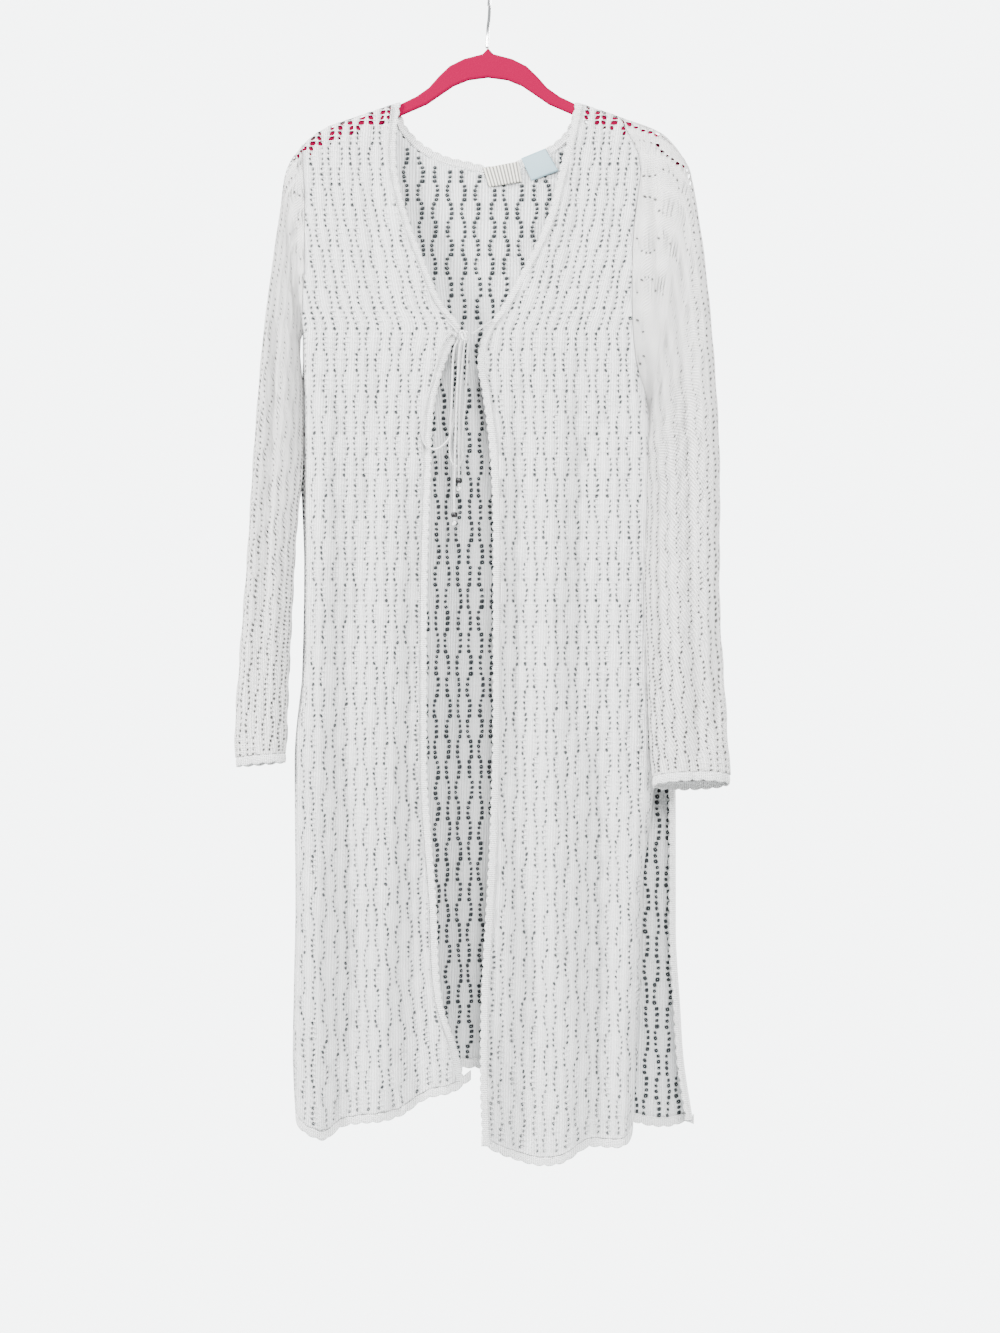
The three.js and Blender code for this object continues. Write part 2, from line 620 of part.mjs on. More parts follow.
/** Bead with a hole for its cord. */
function bead(name, at) {
  const hole = CORD / 2 + SEAM_GAP;
  const wide = BEAD_WIDE / 2;
  const tall = BEAD_TALL / 2;
  const profile = [[hole, -tall], [wide * 0.8, -tall], [wide, -tall * 0.4], [wide, tall * 0.4],
    [wide * 0.8, tall], [hole, tall], [hole, -tall]].map(([x, y]) => new THREE.Vector2(x, y));
  const ring = new THREE.LatheGeometry(profile, 14);
  ring.rotateX(Math.PI / 2);
  ring.translate(...at);
  return namedMesh(name, ring, PEWTER);
}

const KNOT_AT = [-26, -28, -407];
const BEADS = [{ name: 'short', x: -32, y: -33, z: -567 }, { name: 'long', x: -37, y: -36.1, z: -605 }];

/** Tie: cords from each front, the bow's loops, and the tails with their beads. */
function tie() {
  const parts = [knot('tie_knot', KNOT_AT, KNOT_WIDE, KNOT_DEEP, KNOT_TALL)];
  const cord = (name, steps, route) => parts.push(bar(name, TRIM, route, CORD, steps));
  cord('tie_cord_left', 3, [[-44, -21.7, -391], [-39, -23, -395], [-32.6, -26.8, -403.4]]);
  cord('tie_cord_right', 4, [[4, -21.6, -389], [-6, -23.8, -396], [-18.5, -27, -405.2]]);
  cord('tie_loop_wide', 26, [[-33.9, -28, -406.4], [-40, -27.5, -403], [-47, -27, -410], [-53, -27, -424],
    [-60, -27, -452], [-68, -27, -480], [-73, -27, -508], [-70, -27, -525], [-61, -27, -532],
    [-50, -27, -528], [-40, -27, -512], [-35, -27, -470], [-31, -26.6, -430], [-29.6, -26.4, -413.8]]);
  cord('tie_loop_narrow', 22, [[-33.4, -29.8, -411.6], [-38, -30, -428], [-40, -30, -480],
    [-42, -30, -528], [-40, -30, -545], [-34, -30, -551], [-28.5, -30, -543],
    [-28, -30, -518], [-24, -30, -460], [-21.8, -29.6, -413.4]]);
  cord('tie_tail_short', 11, [[-25.6, -31.4, -413.4], [-27.5, -33, -430], [-31, -33, -480],
    [-32, -33, -530], [-32, -33, -573.4]]);
  cord('tie_tail_long', 14, [[-29.6, -32.8, -412.2], [-31.8, -35.8, -430], [-35, -36.1, -500],
    [-36.8, -36.1, -570], [-37, -36.1, -611.4]]);
  BEADS.forEach((spot) => {
    parts.push(bead(`tie_bead_${spot.name}`, [spot.x, spot.y, spot.z]));
    parts.push(knot(`tie_end_knot_${spot.name}`, [spot.x, spot.y, spot.z - 9.4], END_KNOT,
      END_KNOT, END_KNOT, 8, 6));
  });
  return parts;
}

/** Hanger body: one flat outline with rounded edges. */
function hangerBody() {
  const arm = [98, 112, 126, 140, 155, 168, 180, 190, 199, 207, 213, 218, 222, 225].map((x) => {
    const slope = (shoulderAt(x + 0.5) - shoulderAt(x - 0.5));
    const down = new THREE.Vector2(slope, -1).normalize();
    return { edge: new THREE.Vector2(x, shoulderAt(x)), down };
  });
  const top = arm.map(({ edge, down }) => edge.clone().addScaledVector(down, HANGER_BELOW_CLOTH));
  const low = arm.filter((_, k) => k % 2 === 0).map(({ edge, down }) => (
    edge.clone().addScaledVector(down, HANGER_BELOW_CLOTH + ARM_TALL))).reverse();
  const tip = [new THREE.Vector2(221.5, -230), new THREE.Vector2(215, -233)];
  const right = [...HANGER_TOP.map((p) => new THREE.Vector2(p.x, p.z)), ...top, ...tip,
    ...low.slice(1, -1), ...HANGER_LOW.map((p) => new THREE.Vector2(p.x, p.z))];
  const left = right.slice(1, -1).reverse().map((p) => new THREE.Vector2(-p.x, p.y));
  const bevel = { bevelEnabled: true, bevelThickness: HANGER_EDGE, bevelSize: HANGER_EDGE };
  const body = new THREE.ExtrudeGeometry(new THREE.Shape([...right, ...left]), {
    ...bevel, bevelOffset: -HANGER_EDGE, bevelSegments: 2, steps: 1,
    depth: HANGER_THICK - 2 * HANGER_EDGE });
  body.rotateX(Math.PI / 2);
  body.translate(0, HANGER_THICK / 2 - HANGER_EDGE, 0);
  return namedMesh('hanger_body', body, FLOCK);
}

/** Hook: stem, bend and a round top whose inner side carries the hanger. */
function hangerHook() {
  const r = HOOK_RADIUS;
  const centre = WIRE / 2 - r;
  const arc = [0, 30, 60, 90, 120, 150, 180].map((deg) => {
    const a = THREE.MathUtils.degToRad(deg);
    return [2, r * Math.cos(a), centre + r * Math.sin(a)];
  });
  const route = [[-1, 0, -80.7], [-0.5, 0, -66], [0, 2.5, -56], [1, 11, -45], [1.5, 19, -33], ...arc,
    [1.5, -20.5, -31], [1, -17, -39]];
  return bar('hanger_hook', CHROME, route, WIRE, 40, 10);
}

/** The whole garment on its hanger. */
function build() {
  const group = new THREE.Group();
  const toFront = () => new THREE.Vector3(0, -1, 0);
  const toBack = () => new THREE.Vector3(0, 1, 0);
  const rib = (i) => (i % 2 ? RIB_HEIGHT : 0);
  const back = backGrid();
  const backNormals = seamNormals('back', null, true)(back);
  group.add(wall('back_panel', KNIT, back, {
    facing: toBack, rib: (i) => (i > 0 && i < back.length - 1 ? rib(i) : 0), normalAt: backNormals }));
  const neck = neckEdgingGrid(back);
  const neckNormals = (i, j, found) => (
    i === 0 || i === neck.length - 1 ? new THREE.Vector3(found.x, 0, found.z).normalize() : null);
  group.add(wall('neck_edging', TRIM, neck, { facing: toBack, normalAt: neckNormals }));
  const backLow = back.map((points) => points[points.length - 1]);
  const backHemNormals = (i) => {
    if (i > 0 && i < back.length - 1) return null;
    return new THREE.Vector3(i === 0 ? -1 : 1, 0, 0);
  };
  group.add(wall('hem_edging_back', TRIM, hemGrid(backLow, backHem, backPoint), {
    facing: toBack, normalAt: backHemNormals }));
  const slitOut = () => new THREE.Vector3(1, -0.5, 0);
  group.add(wall('slit_edging_right', TRIM, slitGrid(back), {
    facing: slitOut, normalAt: (i) => (i === 0 ? new THREE.Vector3(1, 0, 0) : null) }));
  ['left', 'right'].forEach((name) => {
    const side = SIDES[name];
    const panel = frontGrid(side);
    const band = frontBandGrid(side, panel);
    const lows = [...panel.slice(0, -1), ...band].map((points) => points[points.length - 1]);
    const pointAt = (x, z) => frontPoint(side, x, z);
    const bandNormals = (i, j, found) => (
      j === 0 ? new THREE.Vector3(found.x, 0, found.z).normalize() : null);
    group.add(wall(`front_${name}`, KNIT, panel, {
      facing: toFront, rib, normalAt: seamNormals('front', side)(panel) }));
    group.add(wall(`front_edging_${name}`, TRIM, band, { facing: toFront, normalAt: bandNormals }));
    group.add(wall(`hem_edging_${name}`, TRIM, hemGrid(lows, side.hem, pointAt), {
      facing: toFront, normalAt: (i) => (i === 0 ? new THREE.Vector3(side.sign, 0, 0) : null) }));
    const backEdge = name === 'left' ? back[0] : back[back.length - 1];
    const rings = name === 'left' ? LEFT_RINGS : RIGHT_RINGS;
    sleeve(name, rings, panel[0], backEdge).forEach((piece) => group.add(piece));
  });
  const at = (x, z) => new THREE.Vector2(x, z);
  group.add(label('neck_label', CREAM, [at(-6, -214), at(34, -206.5), at(38, -229), at(1, -235)]));
  group.add(label('care_label', PALE_BLUE, [at(37, -203), at(64, -192), at(79, -217), at(49, -228)]));
  tie().forEach((piece) => group.add(piece));
  group.add(hangerBody(), hangerHook());
  return group;
}

export default build();
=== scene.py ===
"""Studio picture of a white openwork duster cardigan on its hanger.

Tables are in millimetres, as in the part's source; the front faces -Y and +Z is up. Left and
right are the viewer's, so left is -X.
"""

import logging
import math
from collections.abc import Callable
from dataclasses import dataclass, field, replace
from enum import Enum

import bpy
import numpy as np
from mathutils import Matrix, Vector


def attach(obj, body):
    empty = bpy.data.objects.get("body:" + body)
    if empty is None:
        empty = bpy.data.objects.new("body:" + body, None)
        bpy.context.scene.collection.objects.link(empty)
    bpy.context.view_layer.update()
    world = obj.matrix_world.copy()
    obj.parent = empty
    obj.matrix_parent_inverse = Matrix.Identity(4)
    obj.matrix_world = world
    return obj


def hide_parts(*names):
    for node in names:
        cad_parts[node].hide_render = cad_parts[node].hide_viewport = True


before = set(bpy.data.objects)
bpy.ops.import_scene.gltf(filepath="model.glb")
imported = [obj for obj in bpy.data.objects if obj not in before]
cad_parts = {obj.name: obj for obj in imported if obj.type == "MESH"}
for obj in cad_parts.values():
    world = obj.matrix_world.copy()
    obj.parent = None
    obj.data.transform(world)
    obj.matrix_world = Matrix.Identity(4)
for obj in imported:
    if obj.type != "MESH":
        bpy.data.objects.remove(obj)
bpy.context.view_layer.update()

LOG = logging.getLogger("cardigan")
MM = 0.001

SEAM_HALF = 0.15
FRONT_BAND = 9.0
NECK_BAND = 9.0
HEM_BAND = 11.0
CUFF_BAND = 11.0
SIDE_CURL = 14.0
UNDERARM_ROUND = 60.0
SHOULDER_ROLL = 5.3
NECK_EDGE = 107.0
COLLAPSED = 0.02
PLAIT_TURN = 4.2
ONE_WAVE = 0.314

Place = Callable[[np.ndarray, np.ndarray], np.ndarray]


class Face(Enum):
    """Which layer of the garment a point belongs to."""

    FRONT = -1
    BACK = 1


@dataclass(frozen=True)
class Curve:
    """Smooth reading of a short table of key and value rows."""

    rows: tuple[tuple[float, float], ...]

    def __call__(self, key: np.ndarray | float) -> np.ndarray:
        """Value at each key, level beyond the ends.

        Args:
            key: Keys to read the table at.

        Returns:
            One value for each key.
        """
        table = np.array(sorted(self.rows))
        keys, values = table[:, 0], table[:, 1]
        secant = np.diff(values) / np.diff(keys)
        inner = np.where(secant[:-1] * secant[1:] > 0, (secant[:-1] + secant[1:]) / 2, 0.0)
        slope = np.concatenate(([secant[0]], inner, [secant[-1]]))
        k = np.clip(np.asarray(key, dtype=float), keys[0], keys[-1])
        i = np.clip(np.searchsorted(keys, k, side="right") - 1, 0, len(keys) - 2)
        width = keys[i + 1] - keys[i]
        t = (k - keys[i]) / width
        a, b = values[i], values[i + 1]
        c, d = slope[i] * width, slope[i + 1] * width
        return a + t * (c + t * (3 * (b - a) - 2 * c - d + t * (c + d - 2 * (b - a))))


SHOULDER = Curve((
    (98, -141), (126, -150.5), (155, -160.5), (180, -169.5), (199, -182), (213, -197),
    (222, -210), (227, -228),
))
FALL_FRONT = Curve((
    (-140, 5.3), (-200, 6.4), (-270, 12), (-400, 20), (-560, 23), (-900, 25), (-1320, 30),
))
FALL_BACK = Curve((
    (-140, 5.3), (-200, 6.2), (-270, 9), (-400, 13), (-560, 15), (-900, 17), (-1320, 20),
))
FOLD_SHARE = Curve(((-380, 0), (-600, 0.35), (-1000, 0.75), (-1320, 1)))
NECK_LINE = Curve((
    (-107, -144), (-106.6, -145.6), (-106.1, -149.3), (-104.5, -158), (-92, -180), (-60, -204),
    (-18, -216), (4, -220.5), (28, -216), (59, -203.5), (82, -190), (96, -174), (103, -158),
    (106.1, -149.3), (106.6, -145.6), (107, -144),
))
BACK_HEM = Curve((
    (-215, -1262), (-120, -1248), (-18, -1224), (70, -1250), (163, -1285), (203, -1291),
    (231, -1283),
))


@dataclass(frozen=True)
class Folds:
    """Soft vertical folds that all of a panel's cloth hangs in."""

    deep: float
    pitch: float
    at: float


@dataclass(frozen=True)
class Crease:
    """Trough or ridge of a panel along one line, with soft ends; positive stands outwards."""

    x0: float
    z0: float
    x1: float
    z1: float
    wide: float
    deep: float

    def lift(self, x: np.ndarray, z: np.ndarray) -> np.ndarray:
        """How far the cloth is lifted outwards at each point.

        Args:
            x: Places across.
            z: Heights.

        Returns:
            Distances outwards.
        """
        dx, dz = self.x1 - self.x0, self.z1 - self.z0
        t = np.clip(((x - self.x0) * dx + (z - self.z0) * dz) / (dx * dx + dz * dz), 0, 1)
        away = np.hypot(x - self.x0 - t * dx, z - self.z0 - t * dz)
        return self.deep * np.exp(-((away / self.wide) ** 2)) * np.sin(math.pi * (0.1 + 0.8 * t))


@dataclass(frozen=True)
class Side:
    """One side of the garment: the edges of its front and of the back's half behind it."""

    sign: int
    underarm: float
    shoulder_point: float
    front: Curve
    back: Curve
    opening: Curve
    hem: Curve
    folds: Folds

    def edge(self, face: Face) -> Curve:
        """Side edge of one layer."""
        return self.front if face is Face.FRONT else self.back


LEFT = Side(
    sign=-1,
    underarm=-401,
    shoulder_point=-205,
    front=Curve((
        (-141, -200), (-198, -207), (-255, -204), (-331, -204), (-369, -206), (-398, -207),
        (-419, -207), (-480, -205), (-560, -205), (-742, -205), (-877, -216), (-1033, -215),
        (-1140, -217), (-1202, -218), (-1290, -214),
    )),
    back=Curve((
        (-143, -200), (-167, -205), (-198, -207), (-215, -206), (-276, -204), (-369, -206),
        (-419, -207), (-474, -209), (-540, -210), (-660, -206), (-800, -209), (-921, -216),
        (-1063, -214), (-1154, -216), (-1213, -217), (-1290, -214),
    )),
    opening=Curve((
        (-141, -97), (-198, -102), (-255, -93), (-331, -66), (-369, -50), (-398, -30),
        (-419, -40), (-480, -58), (-560, -63), (-742, -67), (-877, -67), (-1033, -57),
        (-1140, -50), (-1202, -31), (-1290, -18),
    )),
    hem=Curve((
        (-214, -1280), (-193, -1291), (-181, -1295), (-163, -1284), (-139, -1277),
        (-96, -1269), (-65, -1249), (-34, -1240), (-18, -1229),
    )),
    folds=Folds(deep=7.5, pitch=74, at=-140),
)
RIGHT = Side(
    sign=1,
    underarm=-474,
    shoulder_point=144,
    front=Curve((
        (-143, 137), (-167, 151), (-215, 170), (-276, 163), (-329, 160), (-377, 160),
        (-399, 161), (-436, 165), (-474, 177), (-505, 183), (-540, 186), (-660, 188), (-800, 193),
        (-921, 184), (-1011, 173), (-1140, 170), (-1224, 165), (-1310, 161),
    )),
    back=Curve((
        (-143, 137), (-167, 151), (-198, 167), (-215, 170), (-276, 163), (-369, 160),
        (-419, 163), (-474, 177), (-505, 183), (-540, 186), (-660, 189), (-800, 201), (-921, 210),
        (-1063, 210), (-1154, 215), (-1213, 219), (-1290, 231),
    )),
    opening=Curve((
        (-143, 97), (-167, 92), (-215, 80), (-276, 64), (-329, 39), (-377, 12), (-399, -4),
        (-436, -12), (-474, -6), (-540, 2), (-660, 5), (-800, 5), (-921, 3), (-1011, -1),
        (-1140, -8), (-1224, -9), (-1310, -6),
    )),
    hem=Curve((
        (-4, -1300), (22, -1315), (54, -1324), (82, -1319), (114, -1304), (135, -1305),
        (154, -1300), (163, -1290),
    )),
    folds=Folds(deep=8, pitch=88, at=60),
)
BACK_FOLDS = Folds(deep=5, pitch=96, at=10)

FRONT_CREASES = {
    -1: (
        Crease(-120, -430, -150, -820, 11, -4.5), Crease(-96, -560, -112, -1230, 9, 3.5),
        Crease(-178, -470, -186, -900, 9, 3.5), Crease(-66, -470, -82, -760, 8, -2.5),
        Crease(-160, -840, -146, -1250, 12, -5), Crease(-190, -1000, -182, -1270, 8, 4),
        Crease(-74, -900, -60, -1210, 9, -3.5), Crease(-196, -420, -150, -520, 7, -3),
        Crease(-132, -200, -120, -380, 10, -2.5), Crease(-108, -1195, -84, -1290, 7, 5),
        Crease(-196, -1150, -160, -1290, 8, -5),
    ),
    1: (
        Crease(36, -470, 28, -900, 10, -4.5), Crease(66, -520, 74, -1180, 9, 3.5),
        Crease(104, -430, 96, -840, 11, -5), Crease(140, -500, 148, -960, 9, 3.5),
        Crease(126, -860, 118, -1280, 12, -5), Crease(16, -960, 26, -1280, 9, 3.5),
        Crease(48, -1000, 52, -1290, 9, -4), Crease(150, -470, 96, -560, 8, -3),
        Crease(150, -1040, 146, -1270, 8, 3.5), Crease(104, -220, 90, -360, 10, -2.5),
        Crease(150, -1250, 176, -1320, 7, 4), Crease(14, -1180, 40, -1300, 9, -4),
    ),
}
BACK_CREASES = (
    Crease(-150, -430, -140, -1000, 12, -4), Crease(-96, -520, -104, -1220, 11, 3.5),
    Crease(-30, -380, -24, -1180, 12, -4), Crease(34, -480, 44, -1220, 11, 3.5),
    Crease(92, -420, 104, -1120, 12, -4.5), Crease(150, -540, 168, -1260, 11, 3.5),
    Crease(-180, -700, -176, -1240, 10, 3.5), Crease(196, -900, 204, -1270, 9, -3),
    Crease(-90, -230, -40, -300, 12, -1.5), Crease(86, -230, 40, -300, 12, -1.5),
)


def quarter(share: np.ndarray) -> np.ndarray:
    """Quarter round from 0 to 1 as a share runs from 0 to 1."""
    return np.sqrt(1 - (1 - np.clip(share, 0, 1)) ** 2)


def shoulder_at(x: np.ndarray) -> np.ndarray:
    """Height of the shoulder line."""
    return SHOULDER(np.abs(x))


def stand_off(face: Face, side: Side, x: np.ndarray, z: np.ndarray) -> np.ndarray:
    """How far the cloth of one layer stands from the seam plane.

    Args:
        face: Layer of the garment.
        side: Side whose edge the cloth curls to.
        x: Places across.
        z: Heights.

    Returns:
        Distances from the seam plane.
    """
    fall = FALL_FRONT(z) if face is Face.FRONT else FALL_BACK(z)
    folds = side.folds if face is Face.FRONT else BACK_FOLDS
    creases = FRONT_CREASES[side.sign] if face is Face.FRONT else BACK_CREASES
    inward = np.maximum(side.sign * (side.edge(face)(z) - x), 0)
    roll = quarter((shoulder_at(x) - z) / SHOULDER_ROLL)
    curl = quarter(inward / SIDE_CURL + np.maximum(z - side.underarm, 0) / UNDERARM_ROUND)
    swing = np.sin(2 * math.pi * (x - folds.at) / folds.pitch)
    calm = quarter(inward / (3 * SIDE_CURL))
    lift = sum(crease.lift(x, z) for crease in creases)
    wave = (folds.deep * FOLD_SHARE(z) * swing + 1.5 * lift * roll) * calm
    return SEAM_HALF + fall * roll * curl + wave * curl


def front_point(side: Side, x: np.ndarray, z: np.ndarray, out: np.ndarray | float = 0.0) -> np.ndarray:
    """Points of a front, moved out from it by a distance."""
    return np.stack((x, -stand_off(Face.FRONT, side, x, z) - out, z), axis=-1)


def back_point(x: np.ndarray, z: np.ndarray, out: np.ndarray | float = 0.0) -> np.ndarray:
    """Points of the back, moved out from it by a distance.

    Args:
        x: Places across.
        z: Heights.
        out: Distance moved out.

    Returns:
        Points in millimetres.
    """
    left = stand_off(Face.BACK, LEFT, x, z)
    right = stand_off(Face.BACK, RIGHT, x, z)
    return np.stack((x, np.where(x < 0, left, right) + out, z), axis=-1)


def always(*way: float) -> Callable:
    """Function that gives one direction, at points or at lines and rows.

    Args:
        way: Direction that it gives.

    Returns:
        The function.
    """

    def direction(at: np.ndarray, row: np.ndarray | None = None) -> np.ndarray:
        """The direction, once for each point."""
        return np.broadcast_to(way, at.shape if row is None else (*at.shape, 3))

    return direction


def select_only(piece: bpy.types.Object | None = None) -> None:
    """Make one piece the selected and active one, or select nothing.

    Args:
        piece: Piece to select.
    """
    bpy.ops.object.select_all(action="DESELECT")
    if piece is not None:
        piece.select_set(True)
        bpy.context.view_layer.objects.active = piece


def unit(ways: np.ndarray) -> np.ndarray:
    """Each direction with a length of one."""
    return ways / np.maximum(np.linalg.norm(ways, axis=-1, keepdims=True), 1e-6)


def summed(steps: np.ndarray) -> np.ndarray:
    """Length run at each point, from the steps between them."""
    return np.concatenate(([0.0], np.cumsum(steps)))


def join_arrays(parts: list[np.ndarray]) -> np.ndarray:
    """All the rows of several arrays in one."""
    return np.concatenate([part.reshape(-1, part.shape[-1]) for part in parts])


@dataclass
class Surface:
    """Points, triangles and point values that become one mesh object."""

    points: list[np.ndarray] = field(default_factory=list)
    lattice: list[np.ndarray] = field(default_factory=list)
    # Painted shade of each point, from 0 to 1: the troughs between the puffs a little, the eyelets
    # fully.
    painted_shade: list[np.ndarray] = field(default_factory=list)
    triangles: list[np.ndarray] = field(default_factory=list)
    count: int = 0

    def add_points(self, points: np.ndarray, lattice: np.ndarray,
                   painted_shade: np.ndarray | float = 0.0) -> np.ndarray:
        """Add points and return their numbers, in the shape of the array given.

        Args:
            points: Places in millimetres, the last axis holding x, y and z.
            lattice: Places across and along the knitting, in millimetres of cloth.
            painted_shade: Painted shade at the points, from 0 to 1, deepest in the eyelets.

        Returns:
            Point numbers.
        """
        shape = points.shape[:-1]
        total = int(np.prod(shape))
        self.points.append(points.reshape(-1, 3))
        self.lattice.append(lattice.reshape(-1, 2))
        self.painted_shade.append(np.broadcast_to(painted_shade, shape).reshape(total))
        numbers = np.arange(self.count, self.count + total).reshape(shape)
        self.count += total
        return numbers

    def add_triangles(self, a: np.ndarray, b: np.ndarray, c: np.ndarray) -> None:
        """Add one triangle for each entry of the three arrays of point numbers."""
        self.triangles.append(np.stack((a.ravel(), b.ravel(), c.ravel()), axis=-1))

    def add_quads(self, a: np.ndarray, b: np.ndarray, c: np.ndarray, d: np.ndarray) -> None:
        """Add two triangles for each four-sided cell."""
        self.add_triangles(a, b, c)
        self.add_triangles(a, c, d)

    def add_grid(self, grid: np.ndarray) -> None:
        """Add the cells of a grid of point numbers."""
        self.add_quads(grid[:-1, :-1], grid[1:, :-1], grid[1:, 1:], grid[:-1, 1:])

    def to_object(self, name: str, material: bpy.types.Material,
                  outward: Callable | None = None) -> bpy.types.Object:
        """Make the mesh, without its collapsed triangles and unused points.

        Args:
            name: Name of the piece.
            material: Finish of the piece.
            outward: Gives the outward direction at an array of points, where faces may need turning.

        Returns:
            The new object.
        """
        points = join_arrays(self.points)
        triangles = join_arrays(self.triangles)
        a, b, c = (points[triangles[:, k]] for k in range(3))
        normal = np.cross(b - a, c - a)
        triangles = triangles[np.linalg.norm(normal, axis=1) > COLLAPSED]
        a, b, c = (points[triangles[:, k]] for k in range(3))
        if outward and np.sum(np.cross(b - a, c - a) * outward((a + b + c) / 3)) < 0:
            triangles = triangles[:, ::-1]
        used, numbers = np.unique(triangles, return_inverse=True)
        faces = numbers.reshape(-1, 3)
        mesh = bpy.data.meshes.new(name)
        mesh.from_pydata((points[used] * MM).tolist(), [], faces.tolist())
        mesh.polygons.foreach_set("use_smooth", np.ones(len(faces), dtype=bool))
        lattice = join_arrays(self.lattice)[used]
        layer = mesh.uv_layers.new(name="knit")
        layer.data.foreach_set("uv", lattice[faces.ravel()].ravel())
        # The point attribute of painted shade, which the cloth materials darken their colour by.
        painted_shade = mesh.attributes.new("painted_shade", "FLOAT", "POINT")
        painted_shade.data.foreach_set("value", np.concatenate(self.painted_shade)[used])
        mesh.materials.append(material)
        mesh.update()
        made = bpy.data.objects.new(name, mesh)
        bpy.context.scene.collection.objects.link(made)
        LOG.info("%s has %d triangles", name, len(faces))
        return made


@dataclass(frozen=True)
class Eyelets:
    """Openwork of the knitting: lines of eyelets that sway apart and together in groups, with painted
    shade in the eyelets and in the troughs between the puffs.
    """

    line_pitch: float = 11.5
    row_pitch: float = 5.8
    group: int = 4
    sway: float = 1.6
    slant: float = math.radians(27)
    wide: float = 2.9
    tall: float = 5.0
    first: float = 1.22
    open_share: float = 0.08
    sunk: float = 1.5
    puff: float = 2.4
    # Painted shade in the troughs between the puffs, at most.
    valley_shade: float = 0.3
    # Painted shade at each eyelet's rim; its sunk edge is painted darker still.
    rim: float = 0.66
    wide_open_depth: float = 24.0
    wide_open_size: float = 1.8
    # Share of eyelets whose sunk edge is in full painted shade; dim is the painted shade of the rest.
    dark_share: float = 0.3
    dim: float = 0.82
    wide_open_share: float = 0.95
    least_wide: float = 0.45
    least_tall: float = 0.6
    least_area: float = 0.42
    size_spread: tuple[float, float] = (-0.24, 0.22)
    turn_spread: float = 0.2
    wander: float = 0.45
    first_round: float = 0.88
    rim_depth: float = 0.15
    cell_half: float = 0.44
    # How far the painted shade fades at the wide-open eyelets by the shoulders.
    fade: float = 0.75
    seed: int = 7

    def swing(self, row: np.ndarray) -> np.ndarray:
        """Squarish wave of the lines, from -1 to 1, by row."""
        wave = np.sin(math.pi * (row + 0.5) / self.group)
        return np.sign(wave) * np.abs(wave) ** 0.35

    def raise_at(self, line: np.ndarray, row: np.ndarray) -> np.ndarray:
        """How far the cloth is puffed out between two lines that sway apart.

        Args:
            line: Lines of eyelets.
            row: Rows of eyelets.

        Returns:
            Distances outwards.
        """
        parity = np.where(np.floor(line) % 2 == 0, 1.0, -1.0)
        apart = 0.5 - 0.5 * parity * self.swing(row)
        return self.puff * np.sin(math.pi * line) ** 2 * (0.25 + 0.75 * apart)

    def knit(self, surface: Surface, lines: tuple[int, int], rows: tuple[int, int], place: Place,
             inwards: Place, loop: bool = False) -> None:
        """Fill a surface with cells, each with its eyelet where the cloth isn't cut off.

        Args:
            surface: Surface that the cells are added to.
            lines: First and last line of eyelets.
            rows: First and last row of eyelets.
            place: Gives the points of the cloth at lines and rows.
            inwards: Gives the direction into the cloth's inner side at lines and rows.
            loop: Whether the last line joins the first.
        """
        line, row = (np.arange(a, b + 1) for a, b in (lines, rows))
        q = np.arange(2 * len(line) + 1) / 2 + lines[0] - 0.5
        r = np.arange(2 * len(row) + 1) / 2 + rows[0] - 0.5
        if loop:
            q = q[:-1]
        qq, rr = np.meshgrid(q, r, indexing="ij")
        scale = np.array((self.line_pitch, self.row_pitch))
        # Painted shade in the troughs between the puffs, none on their tops.
        valley_shade = self.valley_shade * (1 - self.raise_at(qq, rr) / self.puff)
        grid = surface.add_points(place(qq, rr), np.stack((qq, rr), axis=-1) * scale, valley_shade)
        across = grid.shape[0]
        i, j = np.meshgrid(2 * np.arange(len(line)) + 1, 2 * np.arange(len(row)) + 1, indexing="ij")
        steps = ((1, 0), (1, 1), (0, 1), (-1, 1), (-1, 0), (-1, -1), (0, -1), (1, -1))
        ring = [grid[(i + a) % across if loop else i + a, j + b] for a, b in steps]
        cq, cr = q[i % len(q)], r[j]
        all_points = join_arrays(surface.points)
        corner = [all_points[ring[k]] for k in (1, 3, 5, 7)]
        area = 0.5 * np.linalg.norm(np.cross(corner[0] - corner[2], corner[1] - corner[3]), axis=-1)
        way_q = all_points[ring[0]] - all_points[ring[4]]
        way_r = all_points[ring[2]] - all_points[ring[6]]
        reach_r = np.maximum(np.linalg.norm(way_r, axis=-1), 1e-6)
        skew = np.sum(way_q * way_r, axis=-1) / reach_r
        reach_q = np.linalg.norm(np.cross(way_q, way_r), axis=-1) / reach_r
        corner_q = np.minimum(np.linalg.norm(corner[0] - corner[1], axis=-1),
                              np.linalg.norm(corner[3] - corner[2], axis=-1))
        corner_r = np.minimum(np.linalg.norm(corner[0] - corner[3], axis=-1),
                              np.linalg.norm(corner[1] - corner[2], axis=-1))
        whole = np.minimum(corner_q, reach_q) > self.least_wide * self.line_pitch
        whole &= np.minimum(corner_r, reach_r) > self.least_tall * self.row_pitch
        whole &= area > self.least_area * self.line_pitch * self.row_pitch
        shut = ~whole
        # The middles of shut cells take the same painted trough shade.
        valley_shade = self.valley_shade * (1 - self.raise_at(cq[shut], cr[shut]) / self.puff)
        lattice = np.stack((cq[shut], cr[shut]), axis=-1) * scale
        centre = surface.add_points(place(cq[shut], cr[shut]), lattice, valley_shade)
        for k in range(8):
            surface.add_triangles(ring[k][shut], ring[(k + 1) % 8][shut], centre)
        if whole.any():
            outer = [number[whole] for number in ring]
            reach = (reach_q[whole], reach_r[whole], skew[whole])
            self._add_holes(surface, outer, cq[whole], cr[whole], reach, place, inwards)

